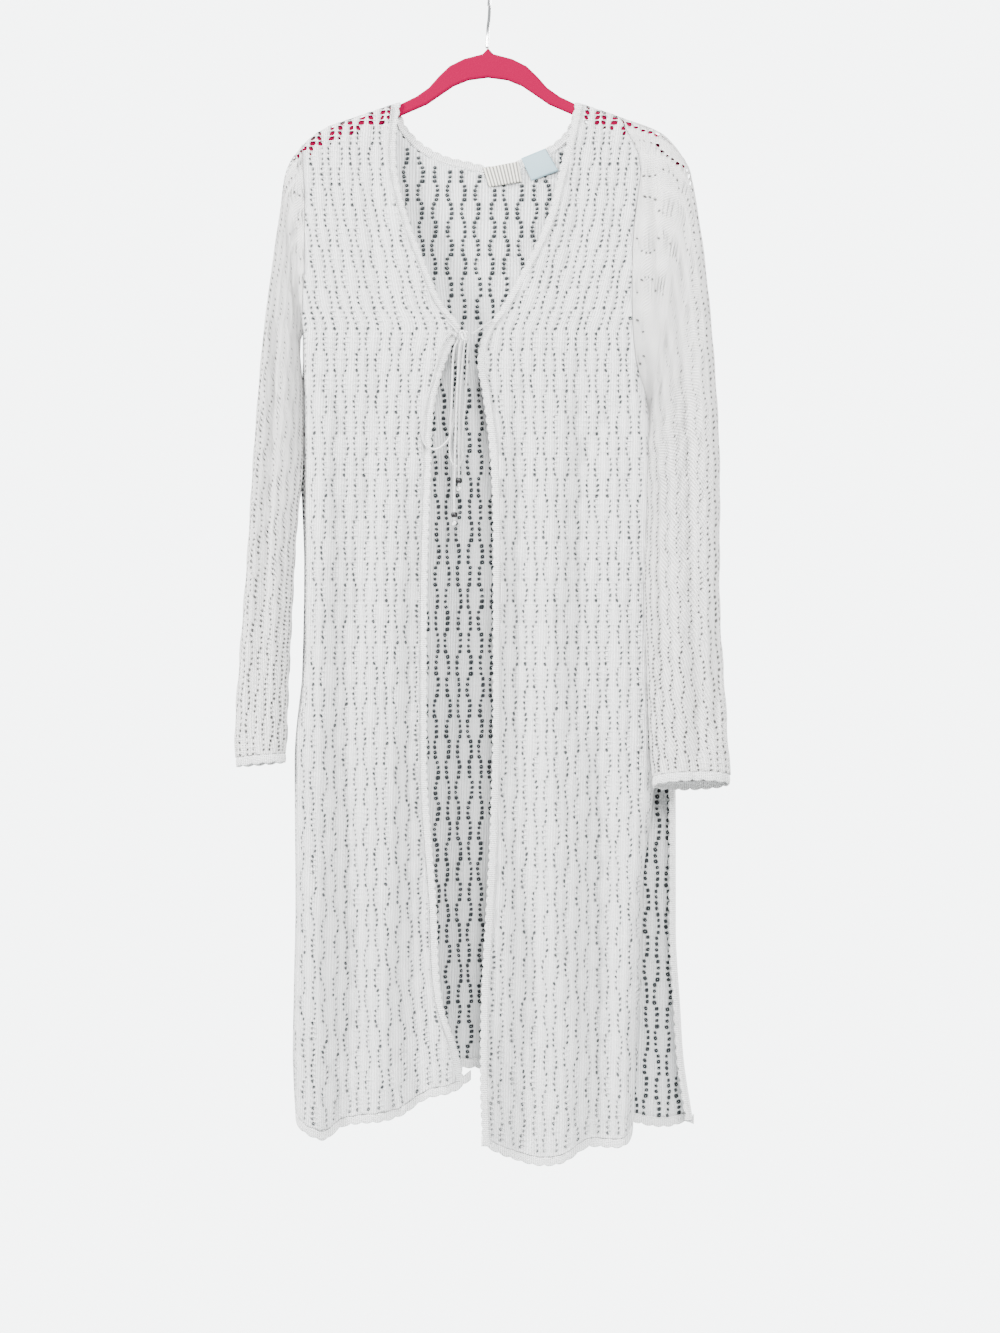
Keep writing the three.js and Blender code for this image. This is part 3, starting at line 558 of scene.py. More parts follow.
    def _add_holes(self, surface: Surface, outer: list[np.ndarray], cq: np.ndarray, cr: np.ndarray,
                   reach: tuple[np.ndarray, ...], place: Place, inwards: Place) -> None:
        """Add the eyelet of each whole cell: its rim, and its edge sunk to the inner side, both carrying
        painted shade for the dark inside the eyelet.

        Args:
            surface: Surface that they are added to.
            outer: Point numbers of the cells' eight outer points.
            cq: Lines of the cells' middles.
            cr: Rows of the cells' middles.
            reach: Size of the cells across and along, and their skew.
            place: Gives the points of the cloth at lines and rows.
            inwards: Gives the direction into the cloth's inner side at lines and rows.
        """
        reach_q, reach_r, skew = reach
        rng = np.random.default_rng(self.seed + len(cq))
        size = 1 + rng.uniform(*self.size_spread, len(cq))
        size *= np.where(cr.astype(int) % self.group == 0, self.first, 1.0)
        parity = np.where(np.round(cq) % 2 == 0, 1.0, -1.0)
        swung = parity * self.swing(np.round(cr))
        angle = -self.slant * swung + rng.uniform(-self.turn_spread, self.turn_spread, len(cq))
        wander_x = rng.uniform(-self.wander, self.wander, len(cq))
        shift_x = self.sway * swung * (reach_q / self.line_pitch) ** 1.3 + wander_x
        shift_z = rng.uniform(-self.wander, self.wander, len(cq))
        middle = place(cq, cr)
        below = shoulder_at(middle[..., 0]) - middle[..., 2]
        stretch = np.clip((self.wide_open_depth - below) / 6, 0, 1)
        # Painted shade of each sunk edge: full for some eyelets at random, dim for the rest.
        dark = np.where(rng.random(len(cq)) < self.dark_share, 1.0, self.dim)
        size *= 1 + (self.wide_open_size - 1) * stretch
        roundness = np.where(cr.astype(int) % self.group == 0, self.first_round, 1.0)
        direction = inwards(cq, cr)
        scale = np.array((self.line_pitch, self.row_pitch))
        previous = outer
        # Rim and sunk edge, each with its painted shade, less where the eyelets open wide.
        for share, depth, painted_shade in ((1.0, self.rim_depth, self.rim), (self.open_share, self.sunk, 1.0)):
            share = share + (self.wide_open_share - share) * stretch * (depth > 1)
            painted_shade = painted_shade * (1 - self.fade * stretch) * (dark if depth > 1 else 1)
            current = []
            for k in range(8):
                turn = math.pi * k / 4
                x = share * size * self.wide / 2 * math.cos(turn)
                z = share * size * self.tall / 2 * roundness * math.sin(turn)
                dx = x * np.cos(angle) - z * np.sin(angle) + shift_x
                dz = x * np.sin(angle) + z * np.cos(angle) + shift_z
                dq = dx / reach_q
                q = cq + np.clip(dq, -self.cell_half, self.cell_half)
                r = cr + np.clip((dz - dq * skew) / reach_r, -self.cell_half, self.cell_half)
                points = place(q, r) + depth * direction
                current.append(surface.add_points(points, np.stack((q, r), axis=-1) * scale, painted_shade))
            for k in range(8):
                n = (k + 1) % 8
                surface.add_quads(previous[k], previous[n], current[n], current[k])
            previous = current


def uneven(q: np.ndarray, z: np.ndarray) -> np.ndarray:
    """Small wander of each line of eyelets, as hand-washed knitting has."""
    return 1.1 * np.sin(0.043 * z + 1.9 * q) + 0.7 * np.sin(0.017 * z - 2.6 * q)


@dataclass(frozen=True)
class BackPanel:
    """Openwork of the back, its lines spread wider above the bust."""

    # The back's eyelets carry deeper painted shade than the fronts': a darker rim and every sunk edge in
    # full shade.
    eyelets: Eyelets = Eyelets(
        wide=3.3, tall=4.6, open_share=0.03, sunk=1.2, rim=0.79, slant=math.radians(22), sway=1.45,
        dim=1.0, puff=2.0, row_pitch=6.25, seed=11,
    )
    centre: float = 4.0
    turn_height: float = -330.0
    upper_row: float = 5.1
    pitch: Curve = Curve(((-330, 15.9), (-560, 12.4)))
    lines: tuple[int, int] = (-20, 21)
    rows: tuple[int, int] = (-162, 40)

    def place(self, q: np.ndarray, r: np.ndarray) -> np.ndarray:
        """Points of the cloth at lines and rows, held inside the cut edges.

        Args:
            q: Lines of eyelets.
            r: Rows of eyelets.

        Returns:
            Points in millimetres.
        """
        z = self.turn_height + r * np.where(r > 0, self.upper_row, self.eyelets.row_pitch)
        x = self.centre + q * self.pitch(z) + uneven(q, z)
        z = z + (BACK_HEM(x) + 1262) * np.clip((-800 - z) / 450, 0, 1)
        for _ in range(3):
            x = np.clip(x, LEFT.back(z) + 0.2, RIGHT.back(z) - 0.2)
            top = np.where(np.abs(x) < NECK_EDGE, NECK_LINE(x), shoulder_at(x))
            z = np.clip(z, BACK_HEM(x) + HEM_BAND, top)
        inward = np.minimum(x - LEFT.back(z), RIGHT.back(z) - x)
        return back_point(x, z, self.eyelets.raise_at(q, r) * quarter(inward / 12))

    def build(self, knit: bpy.types.Material) -> bpy.types.Object:
        """Make the back panel.

        Args:
            knit: Finish of the cloth.

        Returns:
            The new object.
        """
        surface = Surface()
        self.eyelets.knit(surface, self.lines, self.rows, self.place, always(0, -1, 0))
        return surface.to_object("knit_back", knit, always(0, 1, 0))


@dataclass(frozen=True)
class FrontPanel:
    """Openwork of one front, its lines leaning with the V above the bust."""

    side: Side
    eyelets: Eyelets
    bust: float
    count: int
    lean: float = 0.55
    level: float = -560.0
    reach: float = 4.0
    pull: float = 0.3
    rows: tuple[int, int] = (-134, 76)

    def place(self, q: np.ndarray, r: np.ndarray) -> np.ndarray:
        """Points of the cloth at lines and rows, held inside the cut edges.

        Args:
            q: Lines of eyelets.
            r: Rows of eyelets.

        Returns:
            Points in millimetres.
        """
        side, pitch = self.side, self.eyelets.line_pitch
        z = self.level + r * self.eyelets.row_pitch
        k = side.sign * q
        near = self.pull * np.minimum(1, np.exp(-k / self.reach))
        start = side.opening(self.level) + side.sign * (FRONT_BAND + pitch / 2)
        drawn = near * (side.opening(np.minimum(z, self.bust)) - side.opening(self.level))
        share = self.lean * (1 - 0.5 * np.clip(k / self.count, 0, 1))
        slant = share * (side.opening(np.maximum(z, self.bust)) - side.opening(self.bust))
        x = start + q * pitch + drawn + slant + uneven(q, z)
        z = z + (side.hem(x) - side.hem(side.sign * 182)) * np.clip((-760 - z) / 480, 0, 1)
        for _ in range(3):
            band = side.opening(z) + side.sign * (FRONT_BAND - 0.2)
            edge = side.front(z) - side.sign * 0.2
            x = np.clip(x, np.minimum(band, edge), np.maximum(band, edge))
            z = np.clip(z, side.hem(x) + HEM_BAND, shoulder_at(x))
        inward = np.minimum(np.abs(x - side.front(z)), np.abs(x - side.opening(z)))
        return front_point(side, x, z, self.eyelets.raise_at(q, r) * quarter(inward / 12))

    def build(self, knit: bpy.types.Material) -> bpy.types.Object:
        """Make the front panel.

        Args:
            knit: Finish of the cloth.

        Returns:
            The new object.
        """
        surface = Surface()
        lines = sorted((self.side.sign * -4, self.side.sign * self.count))
        self.eyelets.knit(surface, (lines[0], lines[1]), self.rows, self.place, always(0, 1, 0))
        name = "knit_front_left" if self.side.sign < 0 else "knit_front_right"
        return surface.to_object(name, knit, always(0, -1, 0))


@dataclass(frozen=True)
class Ring:
    """Section of a sleeve: outer point, under point, middle and half depth, front crease."""

    ox: float
    oz: float
    ux: float
    uz: float
    mid: float
    deep: float
    crease: float


@dataclass(frozen=True)
class Sleeve:
    """Sleeve with its lines turned round the arm below the armhole."""

    name: str
    side: Side
    rings: tuple[Ring, ...]
    lines: int
    cuff_tilt: float
    creases: tuple[Crease, ...]
    eyelets: Eyelets
    turn: Curve = Curve(((0, 0), (3, -8), (8, -20), (12, -24)))
    crease_at: float = 0.3
    crease_wide: float = 0.22
    table_size: tuple[int, int] = (180, 400)

    def section(self, name: str, v: np.ndarray) -> np.ndarray:
        """One column of the rings, read smoothly along the sleeve."""
        curve = Curve(tuple((k + 1.0, getattr(ring, name)) for k, ring in enumerate(self.rings)))
        return curve(v)

    def point(self, theta: np.ndarray, v: np.ndarray) -> np.ndarray:
        """Points of the sleeve by angle from its outer edge and by section.

        Args:
            theta: Angles from the outer edge.
            v: Sections, counted from the armhole.

        Returns:
            Points in millimetres.
        """
        ox, oz, ux, uz = (self.section(name, v) for name in ("ox", "oz", "ux", "uz"))
        mid, deep, crease = (self.section(name, v) for name in ("mid", "deep", "crease"))
        c, s = np.cos(theta), np.sin(theta)
        x = (ox + ux) / 2 + c * (ox - ux) / 2
        z = (oz + uz) / 2 + c * (oz - uz) / 2
        dent = np.where(s > 0, crease * np.exp(-(((c - self.crease_at) / self.crease_wide) ** 2)), 0)
        y = mid - deep * np.sign(s) * np.abs(s) ** 0.7 + dent
        last = len(self.rings)
        z = z + self.cuff_tilt * np.clip((v - last + 3) / 6, 0, 0.5) * s
        lift = sum(crease.lift(x, z) for crease in self.creases)
        y = y - lift * np.sign(s) * np.minimum(1, 2.5 * np.abs(s)) * np.clip(v - 1, 0, 1)
        return self.from_armhole(np.stack((x, y, z), axis=-1), c, s, v)

    def from_armhole(self, below: np.ndarray, c: np.ndarray, s: np.ndarray, v: np.ndarray) -> np.ndarray:
        """Points run in from the armhole seam above the first section.

        Args:
            below: Points that the sections alone would give.
            c: Cosines of the points' angles.
            s: Sines of the points' angles.
            v: Sections, counted from the armhole.

        Returns:
            Points in millimetres.
        """
        side = self.side
        top = shoulder_at(side.shoulder_point)
        z = (top + side.underarm) / 2 + c * (top - side.underarm) / 2
        z = np.clip(z, side.underarm, top)
        front_x, back_x = side.front(z), side.back(z)
        front_y = -stand_off(Face.FRONT, side, front_x, z)
        back_y = stand_off(Face.BACK, side, back_x, z)
        seam_x = np.where(s > 0, front_x, back_x) + side.sign * 0.3
        seam_y = np.where(s > 0, front_y, back_y) * np.minimum(1, 6 * np.abs(s))
        seam = np.stack((seam_x, seam_y, z), axis=-1)
        share = np.clip(v, 0, 1)[..., None]
        return seam * (1 - share) + below * share

    def lengths(self) -> tuple[np.ndarray, np.ndarray, np.ndarray]:
        """Length of cloth up from the cuff, as the mean all round the sleeve.

        Returns:
            Lengths, the section that each one reaches, and the girth there.
        """
        angles, steps = self.table_size
        turned = np.linspace(0, 2 * math.pi, angles, endpoint=False)
        v = np.linspace(len(self.rings), 0, steps)
        tt, vv = np.meshgrid(turned, v, indexing="ij")
        path = self.point(tt + np.radians(self.turn(vv)), vv)
        run = np.linalg.norm(np.diff(path, axis=1), axis=-1).mean(axis=0)
        girth = np.linalg.norm(path - np.roll(path, 1, axis=0), axis=-1).sum(axis=0)
        return summed(run), v, girth

    def build(self, knit: bpy.types.Material) -> bpy.types.Object:
        """Make the sleeve.

        Args:
            knit: Finish of the cloth.

        Returns:
            The new object.
        """
        run, sections, girth = self.lengths()
        rows = math.ceil(run[-1] / self.eyelets.row_pitch)

        def locate(q: np.ndarray, r: np.ndarray) -> tuple[np.ndarray, np.ndarray]:
            """Angle and section of lines and rows.

            Args:
                q: Lines of eyelets.
                r: Rows of eyelets.

            Returns:
                Angles and sections.
            """
            turned = 2 * math.pi * (-self.side.sign * q) / self.lines
            v = np.interp(r * self.eyelets.row_pitch, run, sections)
            return turned + np.radians(self.turn(v)), v

        def inwards(q: np.ndarray, r: np.ndarray) -> np.ndarray:
            """Direction from the cloth to the middle of its section.

            Args:
                q: Lines of eyelets.
                r: Rows of eyelets.

            Returns:
                Directions.
            """
            theta, v = locate(q, r)
            middle = (self.point(theta, v) + self.point(theta + math.pi, v)) / 2
            way = middle - self.point(theta, v)
            way[..., 1] += 4 * np.sign(np.sin(theta))
            return unit(way)

        def place(q: np.ndarray, r: np.ndarray) -> np.ndarray:
            """Points of the cloth at lines and rows.

            Args:
                q: Lines of eyelets.
                r: Rows of eyelets.

            Returns:
                Points in millimetres.
            """
            theta, v = locate(q, r)
            puff = self.eyelets.raise_at(q, r) * np.clip(v - 0.5, 0, 1)
            return self.point(theta, v) - puff[..., None] * inwards(q, r)

        surface = Surface()
        self.eyelets.knit(surface, (0, self.lines - 1), (0, rows), place, inwards, loop=True)
        knitted = self.lines * self.eyelets.line_pitch
        for lattice in surface.lattice:
            lattice[..., 0] *= np.interp(lattice[..., 1], run, girth) / knitted
        centre = np.array([(ring.ox + ring.ux) / 2 for ring in self.rings]).mean()
        return surface.to_object(
            self.name, knit, lambda p: (p - (centre, self.rings[5].mid, 0)) * (1, 1, 0)
        )


@dataclass(frozen=True)
class Band:
    """Points of an edging by length, share of the width from the seam, cut and rise."""

    along: np.ndarray
    share: np.ndarray
    cut: np.ndarray
    rise: np.ndarray


Line = Callable[[Band], np.ndarray]


@dataclass(frozen=True)
class Scallops:
    """Crocheted edging: a raised band whose free edge runs in small shells."""

    pitch: float = 12.5
    deep: float = 2.4
    step: float = 1.6
    across: int = 6
    bulge: float = 0.8
    thick: float = 1.4

    def build(self, name: str, length: float, line: Line, material: bpy.types.Material,
              outward: Callable) -> bpy.types.Object:
        """Make one edging.

        Args:
            name: Name of the piece.
            length: Length of the edging along its seam.
            line: Lays a band on the garment.
            material: Finish of the edging.
            outward: Gives the outward direction at an array of points.

        Returns:
            The new object, with its thickness.
        """
        count = max(int(length / self.step), 8)
        along, share = np.meshgrid(
            np.linspace(0, length, count + 1), np.linspace(0, 1, self.across + 1), indexing="ij"
        )
        shell = np.abs(np.sin(math.pi * along / self.pitch)) ** 0.6
        cut = self.deep * (1 - shell) * share**2
        rise = self.bulge * np.sin(math.pi * share) * (0.55 + 0.45 * shell)
        surface = Surface()
        lattice = np.stack((along, share * FRONT_BAND), axis=-1)
        surface.add_grid(surface.add_points(line(Band(along, share, cut, rise)), lattice))
        return thicken(surface.to_object(name, material, outward), self.thick)


def thicken(piece: bpy.types.Object, thick: float) -> bpy.types.Object:
    """Give a sheet its thickness, on its inner side.

    Args:
        piece: Sheet.
        thick: Thickness in millimetres.

    Returns:
        The same piece.
    """
    select_only(piece)
    solid = piece.modifiers.new("thickness", "SOLIDIFY")
    solid.thickness = thick * MM
    solid.offset = -1
    bpy.ops.object.modifier_apply(modifier=solid.name)
    return piece


def smooth_route(route: tuple[tuple[float, float, float], ...], step: float) -> np.ndarray:
    """Points close together on a smooth line through the route's points.

    Args:
        route: Points in millimetres.
        step: Distance between the points made, about.

    Returns:
        Array of points in millimetres.
    """
    points = np.array(route, dtype=float)
    padded = np.concatenate(([2 * points[0] - points[1]], points, [2 * points[-1] - points[-2]]))
    made = []
    for k in range(1, len(padded) - 2):
        a, b, c, d = padded[k - 1 : k + 3]
        count = max(int(np.linalg.norm(c - b) / step), 2)
        t = np.linspace(0, 1, count, endpoint=False)[:, None]
        made.append(0.5 * (2 * b + (c - a) * t + (2 * a - 5 * b + 4 * c - d) * t**2
                           + (3 * b - a - 3 * c + d) * t**3))
    return np.concatenate((*made, points[-1:]))


def tube(name: str, path: np.ndarray, width: float, material: bpy.types.Material,
         sides: int = 10, plait: float = 0.0) -> bpy.types.Object:
    """Round bar along a path, closed at its ends.

    Args:
        name: Name of the piece.
        path: Points in millimetres.
        width: Diameter in millimetres.
        material: Finish of the piece.
        sides: Faces round the bar.
        plait: Share of the radius by which the strands stand up.

    Returns:
        The new object.
    """
    tangent = np.gradient(path, axis=0)
    tangent /= np.linalg.norm(tangent, axis=1, keepdims=True)
    normal = np.cross(tangent[0], (1.0, 0.2, 0.1))
    frames = []
    for way in tangent:
        normal = normal - way * np.dot(normal, way)
        normal = normal / np.linalg.norm(normal)
        frames.append((normal, np.cross(way, normal)))
    side, up = (np.array([pair[k] for pair in frames])[:, None, :] for k in range(2))
    run = summed(np.linalg.norm(np.diff(path, axis=0), axis=1))
    angle = 2 * math.pi * np.arange(sides) / sides
    ripple = 1 + plait * np.sin(2 * angle[None, :] + run[:, None] * 2 * math.pi / PLAIT_TURN)
    across = side * np.cos(angle)[None, :, None] + up * np.sin(angle)[None, :, None]
    points = path[:, None, :] + across * (width / 2) * ripple[:, :, None]
    surface = Surface()
    uv = np.stack(np.broadcast_arrays(angle[None, :] * width / 2, run[:, None]), axis=-1)
    grid = surface.add_points(points, uv)
    turned = np.roll(grid, -1, axis=1)
    surface.add_quads(grid[:-1], grid[1:], turned[1:], turned[:-1])
    ends = surface.add_points(path[[0, -1]], np.zeros((2, 2)))
    surface.add_triangles(grid[0], turned[0], np.full(sides, ends[0]))
    surface.add_triangles(turned[-1], grid[-1], np.full(sides, ends[1]))
    made = surface.to_object(name, material)
    select_only(made)
    bpy.ops.object.mode_set(mode="EDIT")
    bpy.ops.mesh.select_all(action="SELECT")
    bpy.ops.mesh.normals_make_consistent(inside=False)
    bpy.ops.object.mode_set(mode="OBJECT")
    return made


def add_node(tree: bpy.types.NodeTree, kind: str, inputs: dict[str | int, object] | None = None,
             **settings: object) -> bpy.types.Node:
    """Add a shader node.

    Args:
        tree: Node tree that it is added to.
        kind: Its type, without the prefix that all have.
        inputs: Values of its inputs that aren't linked.
        settings: Its own settings.

    Returns:
        The new node.
    """
    node = tree.nodes.new(f"ShaderNode{kind}")
    for name, value in settings.items():
        setattr(node, name, value)
    for name, value in (inputs or {}).items():
        node.inputs[name].default_value = value
    return node


@dataclass(frozen=True)
class Cloth:
    """Matt cotton knit: stitch bump, soft sheen, and painted shade in the eyelets, in the troughs
    between the puffs and in the stitch hollows.
    """

    name: str
    colour: tuple[float, float, float]
    # Colour of the painted shade.
    shade: tuple[float, float, float]
    bump: float = 0.9
    wale: float = 2.3
    course: float = 1.45
    sheen: float = 0.25

    def make(self) -> bpy.types.Material:
        """Make the material.

        Returns:
            The material.
        """
        material = bpy.data.materials.new(self.name)
        material.use_nodes = True
        tree = material.node_tree
        link = tree.links.new
        shader = tree.nodes["Principled BSDF"]
        shader.inputs["Roughness"].default_value = 0.92
        shader.inputs["Sheen Weight"].default_value = self.sheen
        shader.inputs["Sheen Roughness"].default_value = 0.5
        shader.inputs["Specular IOR Level"].default_value = 0.2
        uv = add_node(tree, "UVMap", uv_map="knit")
        place = add_node(tree, "Mapping", {"Scale": (1 / self.wale, 1 / self.course, 1)})
        link(uv.outputs["UV"], place.inputs["Vector"])
        wales = add_node(tree, "TexWave", {"Scale": ONE_WAVE, "Distortion": 1.2, "Detail Scale": 1.5},
                         bands_direction="X")
        courses = add_node(tree, "TexWave", {"Scale": ONE_WAVE, "Distortion": 1.5},
                           bands_direction="Y")
        both = add_node(tree, "Math", operation="MULTIPLY")
        for k, wave in enumerate((wales, courses)):
            link(place.outputs["Vector"], wave.inputs["Vector"])
            link(wave.outputs["Fac"], both.inputs[k])
        fuzz = add_node(tree, "TexNoise", {"Scale": 1.1, "Detail": 4.0})
        link(place.outputs["Vector"], fuzz.inputs["Vector"])
        total = add_node(tree, "Math", {1: 0.6}, operation="MULTIPLY_ADD")
        link(fuzz.outputs["Fac"], total.inputs[0])
        link(both.outputs["Value"], total.inputs[2])
        bump = add_node(tree, "Bump", {"Strength": self.bump, "Distance": 0.0016})
        link(total.outputs["Value"], bump.inputs["Height"])
        link(bump.outputs["Normal"], shader.inputs["Normal"])
        # Painted shade from the point attribute: the troughs a little, the eyelets fully.
        painted_shade_attribute = add_node(tree, "Attribute", attribute_name="painted_shade")
        # faint paints the troughs' shade, sharp the eyelets' shade, and depth adds them.
        faint = add_node(tree, "MapRange", {"From Max": 0.4, "To Max": 0.12})
        sharp = add_node(tree, "MapRange", {"From Min": 0.6, "From Max": 0.84, "To Max": 1.0},
                         interpolation_type="SMOOTHSTEP")
        depth = add_node(tree, "Math")
        for k, ramp in enumerate((faint, sharp)):
            link(painted_shade_attribute.outputs["Fac"], ramp.inputs["Value"])
            link(ramp.outputs["Result"], depth.inputs[k])
        # Painted shade in the stitch hollows: where the bump is lower, the colour is darker.
        stitch = add_node(tree, "MapRange", {"To Min": 0.2, "To Max": 0.0})
        link(total.outputs["Value"], stitch.inputs["Value"])
        shadow = add_node(tree, "Math", use_clamp=True)
        link(depth.outputs["Value"], shadow.inputs[0])
        link(stitch.outputs["Result"], shadow.inputs[1])
        mix = add_node(tree, "Mix", data_type="RGBA")
        mix.inputs["A"].default_value = (*self.colour, 1)
        mix.inputs["B"].default_value = (*self.shade, 1)
        link(shadow.outputs["Value"], mix.inputs["Factor"])
        link(mix.outputs["Result"], shader.inputs["Base Color"])
        return material


@dataclass(frozen=True)
class Plain:
    """Plain finish with its roughness, metal share, grain and the ribs of a tape, whose grooves are
    painted shade.
    """

    name: str
    colour: tuple[float, float, float]
    roughness: float
    metal: float = 0.0
    specular: float = 0.5
    grain: float = 0.0
    grain_scale: float = 900.0
    ribs: float = 0.0
    rib_shade: float = 0.12

    def make(self) -> bpy.types.Material:
        """Make the material.

        Returns:
            The material.
        """
        material = bpy.data.materials.new(self.name)
        material.use_nodes = True
        tree = material.node_tree
        link = tree.links.new
        shader = tree.nodes["Principled BSDF"]
        shader.inputs["Base Color"].default_value = (*self.colour, 1)
        shader.inputs["Roughness"].default_value = self.roughness
        shader.inputs["Specular IOR Level"].default_value = self.specular
        shader.inputs["Metallic"].default_value = self.metal
        # Ribs: the grooves between them are painted shade, the colour darkened to rib_shade.
        if self.ribs:
            uv = add_node(tree, "UVMap", uv_map="knit")
            wave = add_node(tree, "TexWave", {"Scale": ONE_WAVE / self.ribs}, wave_profile="SIN")
            mix = add_node(tree, "Mix", data_type="RGBA")
            mix.inputs["A"].default_value = (*(self.rib_shade * value for value in self.colour), 1)
            mix.inputs["B"].default_value = (*self.colour, 1)
            link(uv.outputs["UV"], wave.inputs["Vector"])
            link(wave.outputs["Fac"], mix.inputs["Factor"])
            link(mix.outputs["Result"], shader.inputs["Base Color"])
        if self.grain:
            place = add_node(tree, "TexCoord")
            noise = add_node(tree, "TexNoise", {"Scale": self.grain_scale, "Detail": 3.0})
            bump = add_node(tree, "Bump", {"Strength": self.grain, "Distance": 0.0004})
            link(place.outputs["Object"], noise.inputs["Vector"])
            link(noise.outputs["Fac"], bump.inputs["Height"])
            link(bump.outputs["Normal"], shader.inputs["Normal"])
        return material


@dataclass
class Garment:
    """Cut and sewn pieces: panels, edgings and labels."""

    knit: bpy.types.Material
    shaded_back_knit: bpy.types.Material
    trim: bpy.types.Material
    cream: bpy.types.Material
    pale_blue: bpy.types.Material
    scallops: Scallops = Scallops()
    band_scallops: Scallops = Scallops(pitch=10.0, deep=2.4, bulge=0.4)
    front_top: float = -141.0
    front_bottom: float = -1280.0
    front_run: float = 1180.0
    lap: float = 1.2
    lap_rise: float = 0.7
    hem_at: float = -1285.0
    left_hem_at: float = -1270.0
    slit_top: float = -908.0
    slit_bottom: float = -1278.0
    slit_fold: float = 7.0
    label_thick: float = 0.5
    label_gap: float = 2.6

    def build(self) -> None:
        back = BackPanel().build(self.shaded_back_knit)
        back_trims = [self.neck_edging(), self.back_hem(), self.slit_edging()]
        labels = [
            self.label("bare_neck_label", self.cream,
                       ((-6, -214), (34, -206.5), (38, -229), (1, -235))),
            self.label("bare_care_label", self.pale_blue,
                       ((37, -203), (64, -192), (79, -217), (49, -228))),
        ]
        self.declare(back, "back_panel", back_trims + labels)
        for label, node in zip(labels, ("neck_label", "care_label")):
            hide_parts(node)
        for side, bust, count, flat, area in (
            (LEFT, -398, 14, (0.19, 1.14), 0.158), (RIGHT, -400, 17, (0.19, 1.17), 0.178),
        ):
            word = "left" if side.sign < 0 else "right"
            front = FrontPanel(side, Eyelets(seed=20 + side.sign), bust, count).build(self.knit)
            trims = [self.front_edging(side, word), self.front_hem(side, word)]
            self.declare(front, f"front_{word}", trims)

    def declare(self, panel: bpy.types.Object, node: str,
                trims: list[bpy.types.Object]) -> None:
        """Hide the solid that a panel stands for, and attach the panel with its edgings and labels.

        Args:
            panel: Panel.
            node: Solid that it stands for.
            trims: Edgings and labels sewn to it.
        """
        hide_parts(node)
        for piece in (panel, *trims):
            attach(piece, "root")
        LOG.info("%s with %d trims", panel.name, len(trims))

    def edging(self, name: str, node: str, length: float, line: Line,
               way: tuple[float, float, float], scallops: Scallops | None = None) -> bpy.types.Object:
        """Make an edging that stands for its solid.

        Args:
            name: Name of the piece.
            node: Solid that it stands for.
            length: Length along its seam.
            line: Lays a band on the garment.
            way: Direction that its outer side faces.
            scallops: Shells to use in place of the usual ones.

        Returns:
            The new object.
        """
        made = (scallops or self.scallops).build(name, length, line, self.trim, always(*way))
        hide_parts(node)
        return made

    def front_edging(self, side: Side, word: str) -> bpy.types.Object:
        """Edging down a front's opening edge.

        Args:
            side: Side of the garment.
            word: Name of the side.

        Returns:
            The new object.
        """
        top = float(shoulder_at(side.opening(self.front_top)))
        bottom = float(side.hem(side.opening(self.front_bottom)))

        def line(at: Band) -> np.ndarray:
            """Points across the band.

            Args:
                at: Band to lay on the garment.

            Returns:
                Points in millimetres.
            """
            z = top - at.along / self.front_run * (top - bottom)
            edge = side.opening(z) + side.sign * at.cut
            wide = (FRONT_BAND + self.lap) * (1 - at.share) * (1 - at.cut / FRONT_BAND * at.share)
            x = edge + side.sign * wide
            z = np.minimum(z, shoulder_at(x))
            return front_point(side, x, z, at.rise + self.lap_rise * (1 - at.share))

        return self.edging(f"crochet_front_{word}", f"front_edging_{word}", self.front_run, line,
                           (0, -1, 0), self.band_scallops)

    def front_hem(self, side: Side, word: str) -> bpy.types.Object:
        """Edging along a front's hem.

        Args:
            side: Side of the garment.
            word: Name of the side.

        Returns:
            The new object.
        """
        edge, opening = (float(curve(self.hem_at)) for curve in (side.front, side.opening))
        length = abs(edge - opening)

        def line(at: Band) -> np.ndarray:
            """Points across the band.

            Args:
                at: Band to lay on the garment.

            Returns:
                Points in millimetres.
            """
            x = edge + (opening - edge) * at.along / length
            z = side.hem(x) + HEM_BAND - at.share * (HEM_BAND - at.cut)
            return front_point(side, x, z, at.rise)

        return self.edging(f"crochet_hem_{word}", f"hem_edging_{word}", length, line, (0, -1, 0))

    def back_hem(self) -> bpy.types.Object:
        """Edging along the back's hem.

        Returns:
            The new object.
        """
        left, right = float(LEFT.back(self.left_hem_at)), float(RIGHT.back(self.hem_at))

        def line(at: Band) -> np.ndarray:
            """Points across the band.

            Args:
                at: Band to lay on the garment.

            Returns:
                Points in millimetres.
            """
            x = left + at.along
            z = BACK_HEM(x) + HEM_BAND - at.share * (HEM_BAND - at.cut)
            return back_point(x, z, at.rise)

        return self.edging("crochet_hem_back", "hem_edging_back", right - left, line, (0, 1, 0))

    def neck_edging(self) -> bpy.types.Object:
        """Edging of the back neck between the shoulder seams.

        Returns:
            The new object.
        """
        across = np.linspace(-NECK_EDGE, NECK_EDGE, 1200)
        height = NECK_LINE(across)
        run = summed(np.hypot(np.diff(across), np.diff(height)))

        def line(at: Band) -> np.ndarray:
            """Points across the band.

            Args:
                at: Band to lay on the garment.

            Returns:
                Points in millimetres.
            """
            x, z = np.interp(at.along, run, across), np.interp(at.along, run, height)
            dx = np.interp(at.along + 2, run, across) - np.interp(at.along - 2, run, across)
            dz = np.interp(at.along + 2, run, height) - np.interp(at.along - 2, run, height)
            size = np.hypot(dx, dz)
            away = (NECK_BAND - at.cut) * at.share + 0.2
            x, z = x - dz / size * away, z + dx / size * away
            return back_point(x, np.minimum(z, shoulder_at(x)), at.rise)

        return self.edging("crochet_neck", "neck_edging", float(run[-1]), line, (0, 1, 0))

    def slit_edging(self) -> bpy.types.Object:
        """Edging folded forward along the back's open slit.

        Returns:
            The new object.
        """

